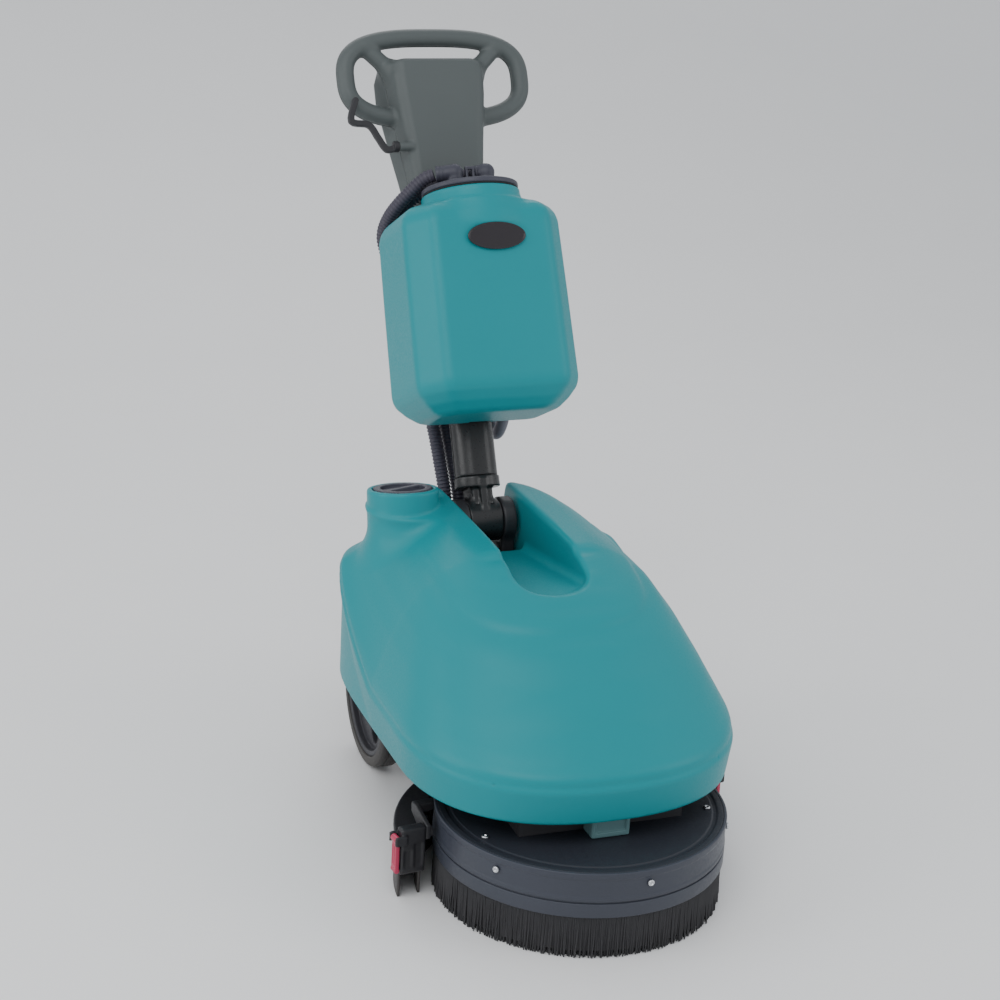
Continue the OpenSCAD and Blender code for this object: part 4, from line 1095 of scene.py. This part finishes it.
def straps():
    """A steel strap against each blade, with screws round the rear one."""
    parts = [arc_sweep(fillet(rect(238.6, 42, 240, 58), 0.4), 12.9, 167.1, 140),
             arc_sweep(fillet(rect(205.8, 44, 207.3, 58), 0.4), 14.8, 165.2, 140)]
    for i in range(9):
        angle = math.radians(20 + 17.5 * i)
        cos, sin = math.cos(angle), math.sin(angle)
        parts.append(screw((239.9 * cos, 239.9 * sin, 50), (cos, sin, 0), 3.6, 2.2))
    return combine(parts)


def suction_nozzle(pts):
    def stem(low, high, radius, r):
        return rod(pts, (0, 222, low), (0, 222, high), radius, r)

    body = merge(stem(82.2, 90, 17, 1.2), stem(84, 106.2, 12.5, 0.8), 2)
    body = body + 0.6 * bell(pts[..., 2] - 98, 1.2)
    return cut(body, stem(78, 112, 9.5, 0.2), 0.5)


def latch(side):
    def field(pts):
        half = mirrored(pts, side)
        body = rod(half, (LATCH_X, 37.1, LATCH_Z), (LATCH_X, 50.6, LATCH_Z), 4.6, 0.9)
        body = merge(body, box(half, (238.7, 37.3, 47), (244.3, 50.4, LATCH_Z), 1.3), 1.5)
        body = merge(body, rod(half, (241.5, 37.1, 46.5), (241.5, 50.6, 46.5), 3.4, 0.9), 1.5)
        # two hollows with a rib between them
        body = cut(body, box(half, (243.4, 39.6, 55), (249, 42.8, 82), 0.9), 0.6)
        body = cut(body, box(half, (243.4, 44.9, 55), (249, 48.1, 82), 0.9), 0.6)
        return cut(body, rod(half, (LATCH_X, 30, LATCH_Z), (LATCH_X, 60, LATCH_Z), 2.1, 0.1),
                   0.3)
    return field


field_piece("squeegee_body", squeegee_body, (-247, 32, 39.5), (247, 241, 104.5), 1.9, SQUEEGEE)
piece("squeegee_front_blade",
      arc_sweep(fillet(rect(207.5, 0.2, 210.8, 74), 0.7), 14.6, 165.4, 160), SQUEEGEE)
piece("squeegee_rear_blade",
      arc_sweep(fillet(rect(235.2, 0.2, 238.4, 74), 0.7), 12.9, 167.1, 160), SQUEEGEE)
piece("squeegee_straps", straps(), SQUEEGEE)
field_piece("suction_nozzle", suction_nozzle, (-18, 204, 82), (18, 240, 107), 0.9, SQUEEGEE)
field_piece("left_latch", latch(1), (237.5, 36.5, 42.5), (247, 51, 96), 0.7, SQUEEGEE)
field_piece("right_latch", latch(-1), (-247, 36.5, 42.5), (-237.5, 51, 96), 0.7, SQUEEGEE)

# ---------------------------------------------------------------- wheels
WHEEL_X, AXLE_Y, AXLE_Z = 150, 407, 100
# (radius, distance out from the wheel's middle)
TYRE = [(84.1, -17), (93, -17), (97.5, -15.2), (99.4, -11.8), (100, -9.5), (100, -6.2),
        (98.6, -5.6), (98.6, -4.4), (100, -3.8), (100, 3.8), (98.6, 4.4), (98.6, 5.6),
        (100, 6.2), (100, 9.5), (99.4, 11.8), (97.5, 15.2), (93, 17), (84.1, 17)]
HUB_CAP = [(0.01, 15.25), (26, 15.25), (26, 16.0), (24.5, 16.6)]
HUB_CAP += [(r, -44 + math.sqrt(65.5 ** 2 - r * r)) for r in np.linspace(22, 8, 10)]
HUB_CAP += [(7, 20.5), (6, 20.4), (0.01, 20.4)]


def wheel_part(profile, count, side):
    verts, faces = revolve(profile, count, "x")
    verts[:, 0] *= side
    if side < 0:
        faces = [face[::-1] for face in faces]
    return verts + np.array([side * WHEEL_X, AXLE_Y, AXLE_Z]), faces


def rim(side):
    def field(pts):
        x, y, z = side * pts[..., 0] - WHEEL_X, pts[..., 1] - AXLE_Y, pts[..., 2] - AXLE_Z
        radial = hypot(y, z)
        body = overlap(radial - 83.8, np.abs(x) - 15, 1.2)
        body = cut(body, both(within(radial, 30, 76), 5 - x), 2)     # outer recess
        body = cut(body, both(within(radial, 24, 76), x + 4), 2)     # inner recess
        for i in range(5):
            angle = math.radians(i * 72 + 36)
            body = cut(body, hypot(y - 52 * math.cos(angle), z - 52 * math.sin(angle)) - 15, 1.5)
        return cut(body, radial - BORE, 0.4)
    return field


for side, name in ((1, "left"), (-1, "right")):
    piece(name + "_tyre", wheel_part(fillet(TYRE, 0.8, 2), 200, side))
    low_x, high_x = sorted((side * 134, side * 166))
    field_piece(name + "_rim", rim(side), (low_x, AXLE_Y - 85, AXLE_Z - 85),
                (high_x, AXLE_Y + 85, AXLE_Z + 85), 1.7)
    piece(name + "_hub_cap", wheel_part(HUB_CAP, 96, side))


# ---------------------------------------------------------------- filler cap
def filler_cap(pts):
    """Ribbed cap with two hollows that leave a grip bar between them."""
    x, y, z = xyz(pts)
    radial = hypot(x, y)
    body = overlap(radial - 41.3, within(z, -7.8, 0.8), 1.4)
    rib_phase = (np.arctan2(y, x) * 36 / math.pi) % 2 - 1
    body = body + 0.45 * bell(rib_phase, 0.35) * (radial > 39)
    bar_angle = math.radians(28)
    off_bar = -x * math.sin(bar_angle) + y * math.cos(bar_angle)
    hollows = overlap(radial - 31, 5 - np.abs(off_bar), 4)
    body = cut(body, overlap(hollows, -3.9 - z, 1.2), 1.3)
    return either(body, both(within(radial, 32, 35.4), within(z, -22, -6)))


def filler_strainer(pts):
    """Flanged cup with two rows of twelve windows."""
    x, y, z = xyz(pts)
    radial = hypot(x, y)
    body = overlap(radial - 36.6, within(z, -25.8, -23.2), 0.5)
    body = merge(body, overlap(radial - 33.4, within(z, -62, -24), 0.8), 0.8)
    body = cut(body, both(radial - 31, -60 - z), 0.4)
    angle = (np.arctan2(y, x) + math.pi / 12) % (math.pi / 6) - math.pi / 12
    for low in (-54, -42):
        windows = both(np.abs(radial * np.sin(angle)) - 3, both(low - z, z - low - 7))
        body = cut(body, windows, 0.5)
    return body


field_piece("filler_cap", filler_cap, (-42, -42, -22.5), (42, 42, 1), 1.1, CAP)
field_piece("filler_strainer", filler_strainer, (-37, -37, -62.5), (37, 37, -23), 1.2, CAP)


# ---------------------------------------------------------------- chassis pieces
def yoke(pts):
    """Base plate and two cheeks that hold the handle's pivot."""
    half = mirrored(pts)
    x = half[..., 0]
    radial = hypot(pts[..., 1] - PIVOT_Y, pts[..., 2] - PIVOT_Z)
    body = box(pts, (-46, 382, 151.3), (46, 446, 160), 2)
    cheeks = merge(overlap(radial - 32, within(x, 25, 44), 2.5),
                   box(half, (25, 389, 153), (44, 437, PIVOT_Z), 2.5), 4)
    body = merge(body, cheeks, 4)
    body = merge(body, box(pts, (-30, 400, 153), (30, 428, 318), 2), 3)
    body = cut(body, overlap(radial - 31.5, x - 25, 0.5), 0.5)
    return cut(body, radial - BORE, 0.4)


# (radius, x) profile with a head at either end
PIN = [(0.01, -48), (11.5, -48), (13, -46.6), (13, -44.1), (PIN_RADIUS, -44.1),
       (PIN_RADIUS, 44.1), (13, 44.1), (13, 46.6), (11.5, 48), (0.01, 48)]
SOCKET_X, SOCKET_Z = 62, 222


def rear_cover(pts):
    """Box open to the front and below, with hose holes on top and slots in the back."""
    x, y, z = xyz(pts)
    body = box(pts, (-111, 346, 151.3), (111, 484, 294), 6)
    body = overlap(body, both(352 - y, 151.4 - z), 1)
    body = cut(body, box(pts, (-107, 330, 140), (107, 480, 290), 3), 0.6)
    body = cut(body, box(pts, (-48, 330, 280), (48, 449, 300), 2), 1)
    for low, high in ((-54.8, -47), (47, 54.8)):
        body = cut(body, box(pts, (low, 330, 240), (high, 470, 300), 1), 0.6)
    for hose_x in (-38, -15):
        body = cut(body, hypot(x - hose_x, y - 463) - 10.6 + 100 * (z < 280), 0.6)
    for i in range(6):
        low = 184 + i * 13
        body = cut(body, box(pts, (-84, 470, low), (0, 492, low + 6), 1.5), 0.8)
    return cut(body, rod(pts, (SOCKET_X, 470, SOCKET_Z), (SOCKET_X, 500, SOCKET_Z), 12.15, 0.1),
               0.6)


def charge_socket(pts):
    def barrel(front, back, radius, r):
        return rod(pts, (SOCKET_X, front, SOCKET_Z), (SOCKET_X, back, SOCKET_Z), radius, r)

    body = either(barrel(484.2, 490, 19, 1.5), barrel(470.5, 486, 12, 0.3))
    body = cut(body, barrel(480, 500, 8, 0.5), 0.8)
    return either(body, barrel(480, 488, 2, 0.5))


def support_block(pts):
    body = box(pts, (-26, -100, 118.25), (26, -70, 172), 3)
    return cut(body, box(pts, (-20, -104, 126), (20, -97.5, 146), 1.5), 1)


# (y, z) side view of a squeegee bracket
BRACKET = [[37.5, 84], [53.5, 84], [84, 104], [84, 117], [71, 117], [37.5, 104]]


def squeegee_brackets(pts):
    """Cheek, foot, pin and hexagon-sized boss at either side of the deck."""
    half = mirrored(pts)
    x, y, z = xyz(half)
    off_deck = DECK_RADIUS + 0.1 - hypot(x, y)
    body = overlap(polygon(y, z, inset(BRACKET, 2.0)) - 2.0, within(x, 196.2, 202.2), 0.8)
    body = merge(body, box(half, (165, 71, 105), (199, 84, 117), 1), 1.5)
    body = both(body, off_deck)
    body = either(body, rod(half, (191.3, MOUNT_Y, MOUNT_Z), (226, MOUNT_Y, MOUNT_Z), 4, 0.4))
    boss = rod(half, (191.3, MOUNT_Y, MOUNT_Z), (196.4, MOUNT_Y, MOUNT_Z), 7.4, 0.8)
    return either(body, both(boss, off_deck))


field_piece("handle_yoke", yoke, (-47, 380, 151), (47, 448, 390), 1.9)
piece("pivot_pin", revolve(fillet(PIN, 0.5), 72, "x", (0, PIVOT_Y, PIVOT_Z)))
field_piece("rear_cover", rear_cover, (-112, 350, 150), (112, 485, 295), 2.2)
field_piece("charge_socket", charge_socket, (42, 470, 202), (82, 491, 242), 0.9)
field_piece("front_support_block", support_block, (-27, -101, 118), (27, -69, 173), 1.0)
field_piece("squeegee_brackets", squeegee_brackets, (-227, 36.5, 83), (227, 85, 118), 1.3,
            SQUEEGEE)

# the other pieces keep their CAD mesh, with a finish and softened edges
for node, obj in NODES.items():
    if obj.hide_render:
        continue
    obj.data.materials.clear()
    obj.data.materials.append(MATERIALS[SLOTS[node]])
    weld = obj.modifiers.new("weld", "WELD")
    weld.merge_threshold = 0.00002
    bevel = obj.modifiers.new("bevel", "BEVEL")
    bevel.width = 0.0006
    bevel.segments = 2
    bevel.limit_method = "ANGLE"
    bevel.angle_limit = math.radians(35)


# ---------------------------------------------------------------- stage (metres)
def studio_floor():
    """Floor that curves up into a wall behind the machine."""
    rows, half_width = 40, 9
    bend_y, bend_radius = 2.2, 2.6
    verts = []
    for y in np.linspace(-7, 7, rows):
        share = max(0.0, (y - bend_y) / bend_radius)
        angle = min(share, 1) * math.pi / 2
        z = bend_radius * (1 - math.cos(angle)) + max(0, share - 1) * 4
        if share > 0:
            y = bend_y + bend_radius * math.sin(angle)
        verts += [(-half_width, y, z), (half_width, y, z)]
    faces = [[2 * i, 2 * i + 1, 2 * i + 3, 2 * i + 2] for i in range(rows - 1)]
    mesh = bpy.data.meshes.new("floor")
    mesh.from_pydata(verts, [], faces)
    mesh.polygons.foreach_set("use_smooth", [True] * len(faces))
    floor = bpy.data.objects.new("floor", mesh)
    bpy.context.scene.collection.objects.link(floor)
    mesh.materials.append(material("floor", (0.80, 0.80, 0.80), rough=0.62, vary=0.01, wear=0,
                                   dust=0, bump=0.01, grain=60))


studio_floor()

world = bpy.data.worlds.new("studio")
bpy.context.scene.world = world
world.use_nodes = True
background = world.node_tree.nodes["Background"]
background.inputs["Color"].default_value = (0.93, 0.96, 1.0, 1)
background.inputs["Strength"].default_value = 0.85

# name, place, aimed at, (width, height), watts
LIGHTS = [
    ("key", (-1.2, -1.4, 2.9), (0, 0.1, 0.3), (2.2, 2.2), 42),
    ("left", (-2.8, 0.2, 1.4), (0, 0.1, 0.4), (1.6, 2.0), 26),
    ("right", (2.4, -1.2, 1.6), (0, 0.1, 0.4), (1.4, 2.0), 16),
    ("back", (0.4, 2.6, 2.4), (0, 0.3, 0.6), (2.4, 1.4), 22),
]
for name, place, target, size, watts in LIGHTS:
    light = bpy.data.lights.new(name, "AREA")
    light.shape = "RECTANGLE"
    light.size, light.size_y = size
    light.energy = watts
    light.color = (1, 1, 1)
    obj = bpy.data.objects.new(name, light)
    bpy.context.scene.collection.objects.link(obj)
    obj.location = place
    obj.rotation_euler = (Vector(target) - Vector(place)).to_track_quat("-Z", "Y").to_euler()


# ---------------------------------------------------------------- camera (metres)
def add_camera(place, lens, yaw, pitch, roll):
    """Camera with its lens in millimetres and its angles in degrees."""
    yaw, pitch, roll = (math.radians(angle) for angle in (yaw, pitch, roll))
    back = np.array([math.sin(yaw) * math.cos(pitch), -math.cos(yaw) * math.cos(pitch),
                     math.sin(pitch)])
    level = np.array([math.cos(yaw), math.sin(yaw), 0])
    upright = np.cross(back, level)
    right = math.cos(roll) * level + math.sin(roll) * upright
    up = -math.sin(roll) * level + math.cos(roll) * upright
    camera = bpy.data.cameras.new("camera")
    camera.sensor_width = 36
    camera.lens = lens
    obj = bpy.data.objects.new("camera", camera)
    bpy.context.scene.collection.objects.link(obj)
    pose = Matrix.Identity(4)
    for i in range(3):
        pose[i][0], pose[i][1], pose[i][2], pose[i][3] = right[i], up[i], back[i], place[i]
    obj.matrix_world = pose
    bpy.context.scene.camera = obj


add_camera(place=(-1.0499, -2.3222, 1.4322), lens=78.9048, yaw=-21.5, pitch=19.6, roll=3.2)
